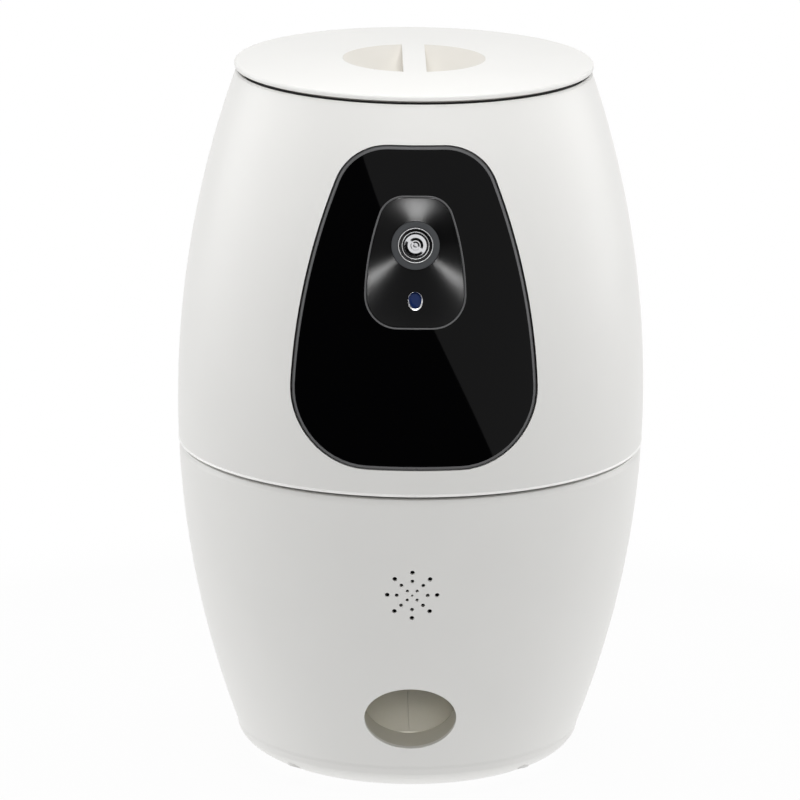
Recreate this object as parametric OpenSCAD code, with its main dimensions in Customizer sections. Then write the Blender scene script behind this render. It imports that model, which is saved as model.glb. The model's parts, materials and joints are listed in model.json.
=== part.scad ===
// Barrel-shaped treat feeder with a camera. Heights are measured from the underside of the casing,
// which stands on its feet. The front faces -Y.

/* [Casing] */
// Height of the rubber feet under the casing
foot_h = 2; // [1:0.2:3]
// Radius of the barrel at its widest
belly_r = 85; // [80:0.5:95]
// Height of the widest place
belly_z = 134; // [128:1:140]
// Radius of the barrel at its top edge
rim_r = 63.9; // [62:0.1:66]
// Height of the barrel's top edge
rim_z = 255.7; // [250:0.1:265]
// Radius where the side turns under
toe_r = 63; // [61:0.5:67]
// Height where the side turns under
toe_z = 11.7; // [10:0.1:14]
// Radius of the flat underside
sole_r = 42; // [40:0.5:44]
// Height of the seam between the two shells
seam_z = 118.3; // [116:0.1:121]
// Shadow gap at the seam
seam_gap = 0.3; // [0.2:0.05:0.6]
// Rounding of the upper shell's lower edge
seam_round = 0.8; // [0.4:0.1:1.2]
// Wall of both shells
wall = 3; // [2.6:0.1:3.4]
// Depth of the spigot that locates the shells
spigot_d = 3; // [2:0.5:4]
// Thickness of the spigot
spigot_t = 1.6; // [1.2:0.1:2]

/* [Window] */
// Window's top edge as a share of the way from the seam to the rim
win_top_share = 0.8974; // [0.86:0.0002:0.91]
// Window's bottom edge as a share of the way from the seam to the rim
win_bottom_share = 0.0721; // [0.05:0.0001:0.12]
// Half the straight part of the top edge
win_top_flat = 9.5; // [6:0.5:12]
// Radius of the top corners
win_top_corner = 20; // [16:0.5:24]
// Half the straight part of the bottom edge
win_bottom_flat = 16.6; // [14:0.2:19]
// Radius of the bottom corners
win_bottom_corner = 27; // [23:0.5:30]
// Radius of the bowed sides
win_side = 230; // [180:5:300]
// Thickness of the window
win_t = 1.6; // [1.2:0.1:1.8]
// Width of the bevelled trim
trim_w = 1.4; // [1:0.1:2]
// How far the window lies below the barrel's skin
win_sink = 0.2; // [0.1:0.05:0.3]

/* [Camera] */
// Camera pod's top edge as a share of the way from the seam to the rim
pod_top_share = 0.7744; // [0.76:0.0002:0.79]
// Camera pod's bottom edge as a share of the way from the seam to the rim
pod_bottom_share = 0.4396; // [0.42:0.0002:0.45]
// Half the straight part of the pod's top edge
pod_top_flat = 4; // [3:0.2:5]
// Radius of the pod's top corners
pod_top_corner = 9.5; // [9:0.1:10.5]
// Half the straight part of the pod's bottom edge
pod_bottom_flat = 6.4; // [5.6:0.2:8]
// Radius of the pod's bottom corners
pod_bottom_corner = 11.5; // [10.5:0.1:12.5]
// Radius of the pod's bowed sides
pod_side = 90; // [75:5:120]
// Rim of the pod round its dish
pod_rim = 1.2; // [0.8:0.1:1.6]
// Depth of the pod's block behind the skin
pod_d = 13; // [11:0.5:15]
// Lens's middle as a share of the way from the seam to the rim
lens_share = 0.6507; // [0.64:0.0001:0.66]
// Depth of the dish at the lens
dish_d = 5.2; // [4.4:0.1:6]
// Radius of the grey disc round the lens
disc_r = 8.5; // [8:0.1:8.8]
// Thickness of the grey disc
disc_t = 1; // [0.6:0.1:1.4]
// Radius of the lens thread
lens_r = 6.2; // [5.8:0.05:6.6]
// Width of the bright ring on the lens
lens_ring_w = 0.55; // [0.4:0.05:0.8]
// Length of the lens barrel
lens_len = 16; // [14:0.5:18]
// Radius of the front lens
glass_r = 4; // [3.4:0.1:4.6]
// Oval light sensor's middle as a share of the way from the seam to the rim
sensor_share = 0.5087; // [0.5:0.0001:0.518]
// Width of the oval sensor
sensor_w = 5.3; // [4.6:0.1:6]
// Height of the oval sensor
sensor_h = 6.7; // [6:0.1:7.4]
// Thickness of the sensor's ring
sensor_ring_t = 0.6; // [0.4:0.1:0.8]
// Thickness of every circuit board
board_t = 1.6; // [1:0.1:2]

/* [Lid] */
// Radius of the lid
lid_r = 64.8; // [64.2:0.1:67]
// Gap under the lid's edge
lid_gap = 0.7; // [0.5:0.1:1.2]
// Thickness of the lid at its edge
lid_edge = 1.9; // [1.6:0.1:2.6]
// Rise of the lid's crown
lid_crown = 1.1; // [0.6:0.1:1.6]
// Rounding of the lid's edge
lid_round = 0.8; // [0.4:0.1:1]
// Radius of the finger recess
grip_r = 26; // [23:0.5:29]
// Depth of the finger recess
grip_d = 9; // [7:0.5:10]
// Width of the bar across the recess
bar_w = 8.2; // [7:0.2:10]
// Wall of the lid under the recess
lid_wall = 2; // [1.6:0.1:2.4]
// Thickness of the lid's skirt
skirt_t = 2; // [1.6:0.1:2.6]
// Arc of each bayonet lug
lug_arc = 40; // [30:1:44]
// Height of each bayonet lug
lug_h = 2.5; // [2:0.1:3]
// Height of the lid's seal
seal_h = 3; // [2.4:0.1:3.6]
// Radius of the screw that the lid turns on
pivot_r = 2; // [1.6:0.1:2.4]

/* [Hopper] */
// Radius of the treat bin
tub_r = 45.5; // [45:0.1:46]
// Wall of the treat bin
tub_wall = 2.2; // [1.8:0.1:2.4]
// Radius of the neck where the seal sits
land_r = 51; // [50:0.1:51.5]
// Depth of the bayonet lugs' groove
groove_d = 1.5; // [1.2:0.1:1.7]
// Height of the seal's land
land_h = 8; // [7:0.5:9]
// Height of the bayonet groove
groove_h = 9.3; // [9:0.1:10.5]
// Height of the funnel under the neck
funnel_h = 12; // [10:0.5:16]
// Radius of the flange that hangs the bin
flange_r = 61.5; // [60.5:0.1:61.7]
// Thickness of the flange
flange_t = 2; // [1.6:0.1:2.4]
// Thickness of the bin's floor
floor_t = 3; // [2.4:0.1:3.4]

/* [Portion drive] */
// Height of the space for the gears
gear_space = 11; // [10.5:0.1:13]
// Module of the gears
gear_module = 1; // [0.9:0.05:1]
// Teeth on the rotor's gear
gear_teeth = 28; // [28]
// Teeth on the drive pinion
pinion_teeth = 14; // [14]
// Thickness of the gears
gear_t = 6; // [5:0.2:6.4]
// Height of the rotor's vanes
vane_h = 20; // [16:1:24]
// Thickness of the rotor's vanes
vane_t = 3; // [2.4:0.1:4]
// Number of vanes on the rotor
vanes = 6; // [5:1:7]
// Radius of the rotor's hub
rotor_hub_r = 9; // [8:0.5:11]
// Radius of the rotor's shaft
rotor_shaft_r = 3; // [2.5:0.1:3.4]
// Radius of the portion motor
portion_motor_r = 12; // [11:0.5:13]
// Length of the portion motor
portion_motor_len = 30; // [26:1:32]
// Radius of both motors' shafts
motor_shaft_r = 2; // [1.5:0.1:2.2]

/* [Drop and throw] */
// Width of the square drop passage
drop_w = 24; // [22:0.5:25]
// Distance of the drop passage from the rotor's axis
drop_y = 29.5; // [29:0.1:30]
// Wall of the drop chute
chute_wall = 1.6; // [1.2:0.1:1.8]
// Inner radius of the throwing drum
drum_r = 28; // [27:0.5:29]
// Half the inner width of the throwing drum
drum_half = 17; // [16:0.5:18]
// Wall of the launch housing
house_wall = 2.4; // [2:0.1:2.8]
// Gap between the throwing vanes and the drum
vane_gap = 1.5; // [1:0.1:2]
// Number of throwing vanes
throw_count = 4; // [3:1:6]
// Thickness of the throwing vanes
throw_t = 2.4; // [2:0.1:3]
// Radius of the throwing hub
throw_hub_r = 8; // [7.5:0.1:9]
// Radius of the throw motor
throw_motor_r = 12; // [11:0.5:13]
// Length of the throw motor
throw_motor_len = 27; // [24:1:32]
// Width of the oval outlet
outlet_w = 33; // [30:0.5:34]
// Height of the oval outlet
outlet_h = 24.7; // [22:0.1:25]
// Height of the outlet's middle
outlet_z = 31.8; // [31:0.1:33]
// Wall of the outlet sleeve
sleeve_t = 1.6; // [1.2:0.1:2]
// Where the launch housing's mouth ends
mouth_y = 46; // [44:0.5:48]

/* [Speaker] */
// Height of the speaker's middle
speaker_z = 81.4; // [79:0.2:84]
// Radius of the speaker
speaker_r = 18; // [16:0.5:19]
// Radius of the middle hole
hole_0_r = 0.45; // [0.4:0.05:0.6]
// Radius of the diagonal holes
hole_1_r = 0.58; // [0.5:0.02:0.7]
// Radius of the holes in the middle ring
hole_2_r = 0.7; // [0.6:0.05:0.9]
// Radius of the holes in the outer ring
hole_3_r = 0.83; // [0.7:0.01:1]
// Distance of the diagonal holes from the middle
ring_1 = 2.45; // [2.2:0.05:2.8]
// Radius of the middle ring of holes
ring_2 = 5.5; // [5:0.1:6]
// Radius of the outer ring of holes
ring_3 = 8.85; // [8.4:0.05:9.5]

/* [Rear and base] */
// Width of the port recess
port_w = 38; // [34:1:40]
// Height of the port recess
port_h = 30; // [27:1:32]
// Height of the port recess's middle
port_z = 39; // [38:0.5:41]
// Depth position of the port plate's face
port_y = 63; // [62:0.2:63.4]
// Thickness of the port plate
port_t = 2; // [1.6:0.1:2.2]
// Radius of the power socket's bore
jack_r = 3.05; // [2.8:0.05:3.3]
// Radius of the reset button
button_r = 3.15; // [2.8:0.05:3.6]
// Travel of the reset button
button_travel = 0.8; // [0.5:0.1:1]
// Depth position of the main board
main_y = 58; // [56:0.5:60]
// Thickness of the base cover
cover_t = 2.4; // [2:0.1:3]
// Thickness of the ledge that the base cover meets
ledge_t = 2.6; // [2.2:0.1:3.2]
// Width of the ledge
ledge_w = 7; // [6.5:0.1:8]
// Radius of the feet
foot_r = 6.5; // [5:0.5:7]
// Distance of the feet from the middle
foot_ring = 26; // [24:0.5:26.5]
// Depth of the feet's pockets
foot_seat = 0.8; // [0.6:0.1:1]
// Radius of the posts between base and deck
post_r = 4.5; // [4:0.1:5]
// Distance of the posts from the middle
post_ring = 56; // [55:0.5:57]
// Thickness of the deck plate
deck_t = 3; // [2.4:0.1:3.6]

/* [Fits] */
// Clearance round a shaft that turns
run_gap = 0.05; // [0.03:0.01:0.08]
// Clearance of pieces that are pressed together
press_gap = 0.02; // [0.01:0.01:0.05]
// Clearance of pieces that are laid together
lay_gap = 0.1; // [0.05:0.05:0.2]
// Clearance of pieces that slide past each other
slide_gap = 0.4; // [0.3:0.05:0.5]
// Backlash of the gears
backlash = 0.2; // [0.15:0.05:0.3]
// Radius of the small screws
screw_r = 1.1; // [1:0.05:1.3]
// Radius of the case screws
case_screw_r = 1.5; // [1.3:0.05:1.7]

/* [Hidden] */
$fn = 48;

// How far a cut runs past what it cuts, and how deep a joined form sinks into its neighbour
over = 1;
sunk = 0.5;
// How near the axis and how far out the cuts through the front and rear reach
cut_in = 40;
cut_out = 110;

// Heights on the upper shell
win_top = upper_at(win_top_share);
win_bottom = upper_at(win_bottom_share);
pod_top = upper_at(pod_top_share);
pod_bottom = upper_at(pod_bottom_share);
lens_z = upper_at(lens_share);
sensor_z = upper_at(sensor_share);

// Arcs of the barrel's side above and below its widest place
up_drop = belly_r - rim_r;
up_rise = rim_z - belly_z;
up_arc = (up_rise * up_rise + up_drop * up_drop) / (2 * up_drop);
low_drop = belly_r - toe_r;
low_rise = belly_z - toe_z;
low_arc = (low_rise * low_rise + low_drop * low_drop) / (2 * low_drop);
skin_steps = 14;
toe_steps = 7;
arc_steps = 8;
oval_steps = 48;
small_oval_steps = 32;

// Screw heads and the lengths of the shanks
pan_r = 2;
pan_h = 1.3;
case_head_r = 2.9;
case_head_h = 1.8;
case_screw_len = 13;
deck_screw_len = 12;
house_screw_len = 12;
speaker_screw_len = 4.5;
port_screw_len = port_t + 1.5;
board_screw_len = board_t + 5;
port_board_screw_len = board_t + 3.5;
motor_screw_d = 5;

// Heights of what is stacked inside
deck_z = seam_z - spigot_d - slide_gap;
hopper_z = deck_z + gear_space;
hopper_floor = hopper_z + floor_t;
rotor_gap = 0.6;
rotor_r = tub_r - rotor_gap;
rotor_z = hopper_floor + rotor_gap;
shaft_seat = 4;
gear_z = deck_z + (gear_space - gear_t) / 2;
gear_pitch = gear_module * gear_teeth / 2;
pinion_pitch = gear_module * pinion_teeth / 2;
motor_y = gear_pitch + pinion_pitch;
bush_wall = 2;
bush_flange = 1;
bush_flange_w = 2;

// Screw bosses of the shells and the deck
boss_room = 9;
deck_room = 2.2;
deck_boss_r = 4;
deck_boss_h = 20;
deck_bolt_ring = side_r(seam_z) - wall - boss_room;
post_boss_h = 6;
case_seat = 8;
counterbore_z = deck_z - deck_t - case_seat;
base_boss_r = 2.8;
base_boss_h = ledge_t + 4;
base_bolt_ring = sole_r - ledge_w / 2;

// Neck of the hopper and the lid above it
lip_z = rim_z - flange_t - 0.2;
lip_t = 2.6;
neck_top = lip_z + flange_t;
groove_z = neck_top - groove_h;
land_z = groove_z - land_h;
groove_r = land_r + groove_d;
neck_r = groove_r + tub_wall;
funnel_z = land_z - funnel_h;
lip_r = neck_r + 0.8;
hopper_bolt_ring = (lip_r + flange_r) / 2;
hopper_boss_r = 3;
hopper_boss_h = 8;
lid_z = rim_z + lid_gap;
lid_top = lid_z + lid_edge + lid_crown;
crown_arc = (lid_r * lid_r + lid_crown * lid_crown) / (2 * lid_crown);
grip_ball = (grip_r * grip_r + grip_d * grip_d) / (2 * grip_d);
grip_z = lid_top - grip_d + grip_ball;
skirt_r = land_r - slide_gap;
tab_t = 2.5;
tab_z = neck_top - tab_t - 2;
lug_z = tab_z - slide_gap - lug_h;
lug_r = groove_r - slide_gap;
tab_arc = 60;
bayonets = 3;
liner_top = groove_z - slide_gap;
liner_t = 2.4;
liner_h = seal_h + 2;
liner_z = liner_top - liner_h;
seal_r = land_r - slide_gap;
seal_w = 2;
seal_proud = 0.6;
groove_lip = 1;
boss_r = 7;
pivot_head_r = 4;
pivot_head_h = 2.2;
bowl_under = lid_top - grip_d - lid_wall;
screw_hole_depth = 5;

// Throwing drum and its duct
chute_outer = drop_w / 2 + chute_wall;
inlet_half = chute_outer + slide_gap;
drum_y = drop_y - drum_r + inlet_half + 0.8;
duct_floor = outlet_z - outlet_h / 2;
duct_roof = outlet_z + outlet_h / 2;
drum_z = duct_floor + drum_r;
vane_r = drum_r - vane_gap;
inlet_top = drum_z + drum_r + 14;
chute_low = drum_z + drum_r + 6;
house_half = drum_half + house_wall;
hub_half = drum_half - bush_flange - slide_gap;
motor_boss_r = 4.8;
motor_bore = 0.35;
motor_screw_in = 3;
ear_z = 24;
ear_t = 3;
ear_x = 38;
ear_half = 5;
ear_post_r = 4;
mouth_d = 7;
sleeve_fit = 0.3;

// Rear ports and boards
port_round = 5;
port_rim = 1.6;
frame_w = 3;
frame_t = 2;
port_floor = port_y - port_t;
port_board_y = port_y - 10.4 - board_t;
port_board_half = [16, 11];
port_post = [13, 8];
port_post_r = 2.5;
port_screw_x = port_w / 2 - port_rim - pan_r - 3 * lay_gap;
screw_seat = 0.2;
jack_at = [-8, -2];
jack_half = [4.5, 5];
jack_wall = 1.2;
jack_bore = 9;
button_at = [8, -1];
button_flange = 1.4;
button_flange_w = 0.8;
button_proud = 1;
light_at = [8, 7];
light_r = 1.2;
switch_h = 4;
switch_half = 3;
switch_floor = 0.6;
stem_r = 1.7;
main_half = [24, 17];
main_z = deck_z - deck_t - 25;
main_post = [20, 13];
standoff_r = 3;

// Window and the camera behind it
win_spare = 4;
sensor_out = sensor_z - lens_z;
holder_half = 7.4;
holder_y = dish_d + 5;
lens_front = dish_d - disc_t - 0.6;
lens_ring_d = 1;
glass_seat = 3;
camera_posts = [[-10, 9], [10, 9], [-12, -16], [12, -16]];
camera_post_r = 2.4;
camera_board_low = -20;
camera_board_high = 13;
camera_board_half = 15.5;
chip_gap = 4;
board_clear = 1;
pod_clear = 0.6;
lens_lean = -side_tilt(lens_z);
pod_sag = (side_r(lens_z) - side_r(pod_top)) * cos(lens_lean)
    + (lens_z - pod_bottom) * sin(lens_lean);
camera_room = (side_r(lens_z) - hopper_out(lens_z + camera_board_high) - board_clear
    - camera_board_high * sin(lens_lean)) / cos(lens_lean) - pan_h - board_t;
camera_board_y = min(camera_room, max(lens_front + lens_len + chip_gap,
    pod_sag + pod_d * cos(lens_lean) + pod_clear));
pod_back = min(pod_d, (camera_board_y - pod_clear - pod_sag) / cos(lens_lean));
lens_back = min(lens_front + lens_len, camera_board_y - chip_gap);

// Speaker behind its holes
pad_w = 3;
pad_d = 7;
gasket_t = 1.2;
speaker_rim = 1.5;
frame_d = 9;
magnet_r = 9;
magnet_d = 7;
ear_ring = speaker_r + 3;
ear_r = 3;

// Height on the upper shell at a share of the way from the seam to the rim
function upper_at(share) = seam_z + share * (rim_z - seam_z);

// Outer radius of the bin at a height: tub, funnel, then neck
function hopper_out(z) = tub_r + tub_wall
    + (neck_r - tub_r - tub_wall) * min(1, max(0, (z - funnel_z) / funnel_h));

// Radius of the outer skin at a height
function side_r(z) = z >= belly_z
    ? belly_r - up_arc + sqrt(up_arc * up_arc - (z - belly_z) * (z - belly_z))
    : belly_r - low_arc + sqrt(low_arc * low_arc - (belly_z - z) * (belly_z - z));

// Slope of the outer skin at a height, as an angle from upright
function side_tilt(z) = z >= belly_z ? -asin((z - belly_z) / up_arc) : asin((belly_z - z) / low_arc);

function reversed(list) = [for (i = [len(list) - 1:-1:0]) list[i]];

// Skin points from one height to another, moved in by an inset
function side_points(z0, z1, inset) = [for (i = [0:skin_steps])
    let (z = z0 + (z1 - z0) * i / skin_steps) [side_r(z) - inset, z]];

// The turned-under foot of the barrel, from the sole to the side
function toe_points(inset, lift) = [for (i = [0:toe_steps])
    let (t = 90 - 90 * i / toe_steps)
    [sole_r + (toe_r - inset - sole_r) * cos(t), lift + (toe_z - lift) * (1 - sin(t))]];

// Skin of the lower shell from sole to seam
function lower_points(inset, lift) = concat(toe_points(inset, lift),
    [for (i = [1:skin_steps]) side_points(toe_z, seam_z, inset)[i]]);

function arc(c, r, a0, a1, n) = [for (i = [0:n])
    let (a = a0 + (a1 - a0) * i / n) [c[0] + r * cos(a), c[1] + r * sin(a)]];

// Right half of a rounded trapezoid: corner circles joined by a bowed side that touches both
function half_outline(a, ra, b, rb, rs, grow, n) =
    let (d = norm(b - a), da = rs - ra, db = rs - rb)
    let (s = (da * da - db * db + d * d) / (2 * d), h = sqrt(da * da - s * s), u = (b - a) / d)
    let (c = a + s * u + h * [u[1], -u[0]])
    let (ta = atan2(a[1] - c[1], a[0] - c[0]), tb = atan2(b[1] - c[1], b[0] - c[0]))
    concat(arc(a, ra + grow, 90, ta, n), arc(c, rs + grow, ta, tb, n), arc(b, rb + grow, tb, -90, n));

function whole_outline(half) = concat(half, [for (p = reversed(half)) [-p[0], p[1]]]);

function window_outline(grow) = whole_outline(half_outline(
    [win_top_flat, win_top - win_top_corner], win_top_corner,
    [win_bottom_flat, win_bottom + win_bottom_corner], win_bottom_corner, win_side, grow, arc_steps));

function pod_outline(grow, n = arc_steps) = whole_outline(half_outline(
    [pod_top_flat, pod_top - pod_top_corner], pod_top_corner,
    [pod_bottom_flat, pod_bottom + pod_bottom_corner], pod_bottom_corner, pod_side, grow, n));

function oval(w, h, n) = [for (i = [0:n - 1]) [w / 2 * cos(360 * i / n), h / 2 * sin(360 * i / n)]];

function outlet_oval(grow) = oval(outlet_w + 2 * grow, outlet_h + 2 * grow, oval_steps);

function sensor_oval(grow) = oval(sensor_w + 2 * grow, sensor_h + 2 * grow, small_oval_steps);

function round_box(w, h, r) = concat(arc([w / 2 - r, h / 2 - r], r, 0, 90, 4),
    arc([r - w / 2, h / 2 - r], r, 90, 180, 4), arc([r - w / 2, r - h / 2], r, 180, 270, 4),
    arc([w / 2 - r, r - h / 2], r, 270, 360, 4));

// Side view of the launch housing's passage: duct, drum and inlet in one closed line
function passage(grow, mouth) =
    let (r = drum_r + grow, back = drop_y + inlet_half + grow, front = drop_y - inlet_half - grow)
    let (roof = duct_roof + grow, top = inlet_top, c = [drum_y, drum_z])
    let (a_back = acos((back - drum_y) / r), a_front = acos((front - drum_y) / r))
    let (a_roof = 180 - asin((roof - drum_z) / r))
    concat([[-mouth, drum_z - r]], arc(c, r, -90, a_back, 12), [[back, top], [front, top]],
        arc(c, r, a_front, a_roof, 12), [[-mouth, roof]]);

// Involute flank at a radius, as the angle it has turned from the base circle
function flank(rb, r) = let (t = sqrt(max(r * r / (rb * rb) - 1, 0))) t * 180 / PI - atan(t);

// Outline of a spur gear with a tooth on the +X axis
function gear_outline(teeth) =
    let (rp = gear_module * teeth / 2, rb = rp * cos(20), ro = rp + 0.8 * gear_module)
    let (rr = rp - 1.1 * gear_module, half = 90 / teeth - backlash / rp * 45 / PI + flank(rb, rp))
    let (radii = [rr, max(rb, rr + 0.05), (max(rb, rr) + ro) / 2, ro])
    [for (i = [0:teeth - 1]) for (s = [-1, 1]) for (k = [0:3])
        let (r = s < 0 ? radii[k] : radii[3 - k], a = 360 * i / teeth + s * (half - flank(rb, r)))
        [r * cos(a), r * sin(a)]];

// Height of the lid's crowned top at a radius
function crown_z(r) = lid_top - crown_arc + sqrt(crown_arc * crown_arc - r * r);

// Height of the underside of the finger bowl at a radius
function bowl_z(r) = grip_z - sqrt((grip_ball + lid_wall) * (grip_ball + lid_wall) - r * r);

module raised() {
    translate([0, 0, foot_h]) children();
}

// A flat outline seen from the front, drawn out from one depth to another
module front_prism(outline, y0, y1) {
    translate([0, -y0, 0]) rotate([90, 0, 0]) linear_extrude(y1 - y0) polygon(outline);
}

// The same seen from behind
module rear_prism(outline, y0, y1) {
    mirror([0, 1, 0]) front_prism(outline, y0, y1);
}

// A flat outline seen from the side, drawn out along X
module side_prism(outline, x0, x1) {
    translate([x0, 0, 0]) rotate([90, 0, 90]) linear_extrude(x1 - x0) polygon(outline);
}

// Part of the skin facing front, between two insets
module front_skin(z0, z1, out, in) {
    spread = 100;
    rotate([0, 0, -90 - spread / 2]) rotate_extrude(angle = spread)
        polygon(concat(side_points(z0, z1, out), reversed(side_points(z0, z1, in))));
}

// Frame on the skin at the front: -Y points straight out of the wall
module at_wall(z) {
    translate([0, -side_r(z), z]) rotate([side_tilt(z), 0, 0]) children();
}

// Round bar along +Y
module rod_y(r, y0, y1) {
    translate([0, y0, 0]) rotate([-90, 0, 0]) cylinder(r = r, h = y1 - y0);
}

// Round bar along +X
module rod_x(r, x0, x1) {
    translate([x0, 0, 0]) rotate([0, 90, 0]) cylinder(r = r, h = x1 - x0);
}

// Cone along +Y
module cone_y(r0, r1, y0, y1) {
    translate([0, y0, 0]) rotate([-90, 0, 0]) cylinder(r1 = r0, r2 = r1, h = y1 - y0);
}

module tube(r_out, r_in, h) {
    difference() {
        cylinder(r = r_out, h = h);
        translate([0, 0, -over]) cylinder(r = r_in, h = h + 2 * over);
    }
}

module around(count, radius, start) {
    for (i = [0:count - 1]) rotate([0, 0, start + 360 * i / count]) translate([radius, 0, 0]) children();
}

// The same form on both sides of the middle
module both_sides(x) {
    for (s = [-1, 1]) translate([s * x, 0, 0]) children();
}

// The same form at the four corners of an upright rectangle
module four_corners(half) {
    for (x = [-1, 1], z = [-1, 1]) translate([x * half[0], 0, z * half[1]]) children();
}

// Screw with its head's underside at the origin and its shank down -Z
module screw(shank_r, length, head_r, head_h) {
    slot = 0.5;
    reach = head_r * 0.6;
    difference() {
        union() {
            translate([0, 0, -length]) cylinder(r = shank_r, h = length + sunk);
            cylinder(r = head_r, h = head_h);
        }
        for (a = [0, 90]) rotate([0, 0, a])
            translate([-reach, -slot / 2, head_h / 2]) cube([2 * reach, slot, head_h]);
    }
}

module small_screw(length) {
    screw(screw_r, length, pan_r, pan_h);
}

module case_screw(length) {
    screw(case_screw_r, length, case_head_r, case_head_h);
}

// Solid of the lower barrel, moved in by an inset
module lower_core(inset) {
    rotate_extrude() polygon(concat([[0, inset]], lower_points(inset, inset), [[0, seam_z]]));
}

module upper_shell() {
    edge_z = seam_z + seam_gap;
    edge_r = side_r(edge_z);
    edge_soft = seam_round * 0.3;
    spigot_r = side_r(seam_z) - wall - slide_gap;
    root_r = spigot_r + wall / 2;
    root_h = 6;
    rib_t = 2.4;
    rib_in = deck_boss_r / 2;
    lip_under = lip_z - lip_t;
    boss_z = lip_under - hopper_boss_h;
    color("white") raised() difference() {
        union() {
            rotate_extrude() polygon(concat(
                [[edge_r - seam_round, edge_z], [edge_r - edge_soft, edge_z + edge_soft]],
                side_points(edge_z + seam_round, rim_z, 0),
                [[flange_r + slide_gap, rim_z], [flange_r + slide_gap, lip_z], [lip_r, lip_z],
                    [lip_r, lip_under]],
                reversed(side_points(edge_z, lip_under, wall))));
            rotate_extrude() polygon([[spigot_r - spigot_t, seam_z - spigot_d],
                [spigot_r, seam_z - spigot_d], [spigot_r, edge_z], [root_r, edge_z + sunk],
                [root_r, edge_z + root_h], [spigot_r - spigot_t, edge_z + root_h - spigot_t]]);
            around(4, deck_bolt_ring, 0) difference() {
                union() {
                    translate([0, 0, deck_z + lay_gap]) cylinder(r = deck_boss_r, h = deck_boss_h);
                    translate([rib_in, -rib_t / 2, edge_z + over])
                        cube([boss_room + wall / 2 - rib_in, rib_t, deck_boss_h - root_h]);
                }
                translate([0, 0, deck_z - over]) cylinder(r = case_screw_r + press_gap, h = deck_screw_len);
            }
            around(4, hopper_bolt_ring, 45) translate([0, 0, boss_z])
                cylinder(r = hopper_boss_r, h = hopper_boss_h + over);
        }
        intersection() {
            front_prism(window_outline(lay_gap), cut_in, cut_out);
            front_skin(win_bottom - win_spare, win_top + win_spare, -2 * over, win_sink + win_t + lay_gap);
        }
        front_prism(pod_outline(lay_gap), cut_in, cut_out);
        around(4, hopper_bolt_ring, 45) translate([0, 0, boss_z + 2 * over])
            cylinder(r = screw_r + press_gap, h = hopper_boss_h + lip_t);
    }
}

// Posts, pads and the wall of the port recess, before they are trimmed to the barrel's inside
module lower_posts() {
    around(4, post_ring, 45) cylinder(r = post_r, h = deck_z - deck_t - lay_gap);
    both_sides(ear_x) translate([0, drum_y, cover_t + over])
        cylinder(r = ear_post_r, h = ear_z - cover_t - over - lay_gap);
    around(4, base_bolt_ring, 45) translate([0, 0, cover_t + over])
        cylinder(r = base_boss_r, h = base_boss_h);
    at_wall(speaker_z) {
        difference() {
            rod_y(speaker_r + over, 0, pad_d);
            rod_y(speaker_r - pad_w, -over, pad_d + over);
        }
        both_sides(ear_ring) rod_y(ear_r, 0, pad_d);
    }
    translate([0, 0, main_z]) four_corners(main_post)
        rod_y(standoff_r, main_y + board_t + lay_gap, belly_r);
    translate([0, 0, port_z]) {
        rear_prism(round_box(port_w + 2 * frame_w, port_h + 2 * frame_w, port_round + frame_w),
            port_floor - frame_t, belly_r);
        both_sides(port_post[0]) translate([0, 0, port_post[1]])
            rod_y(port_post_r, port_board_y + board_t + lay_gap, port_floor - frame_t + over);
    }
}

module sound_holes(y0, y1) {
    rod_y(hole_0_r, y0, y1);
    for (i = [0:3]) rotate([0, 45 + 90 * i, 0]) translate([ring_1, 0, 0]) rod_y(hole_1_r, y0, y1);
    for (i = [0:7]) rotate([0, 45 * i, 0]) translate([ring_2, 0, 0]) rod_y(hole_2_r, y0, y1);
    for (i = [0:7]) rotate([0, 45 * i, 0]) translate([ring_3, 0, 0]) rod_y(hole_3_r, y0, y1);
}

// Openings of the port recess: the recess itself and the holes behind its plate
module port_cuts() {
    jack_hole = jack_half + [slide_gap, slide_gap];
    rear_prism(round_box(port_w, port_h, port_round), port_floor, cut_out);
    translate([jack_at[0] - jack_hole[0], cut_in, jack_at[1] - jack_hole[1]])
        cube([2 * jack_hole[0], port_floor - cut_in + over, 2 * jack_hole[1]]);
    translate([button_at[0], 0, button_at[1]])
        rod_y(button_r + button_flange_w + slide_gap, cut_in, port_y);
    translate([light_at[0], 0, light_at[1]]) rod_y(light_r + slide_gap, cut_in, port_y);
    both_sides(port_post[0]) translate([0, 0, port_post[1]])
        rod_y(screw_r + press_gap, port_board_y, port_board_y + port_board_screw_len + over);
    both_sides(port_screw_x) rod_y(screw_r + press_gap, port_floor - frame_t - over, port_y);
}

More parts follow.
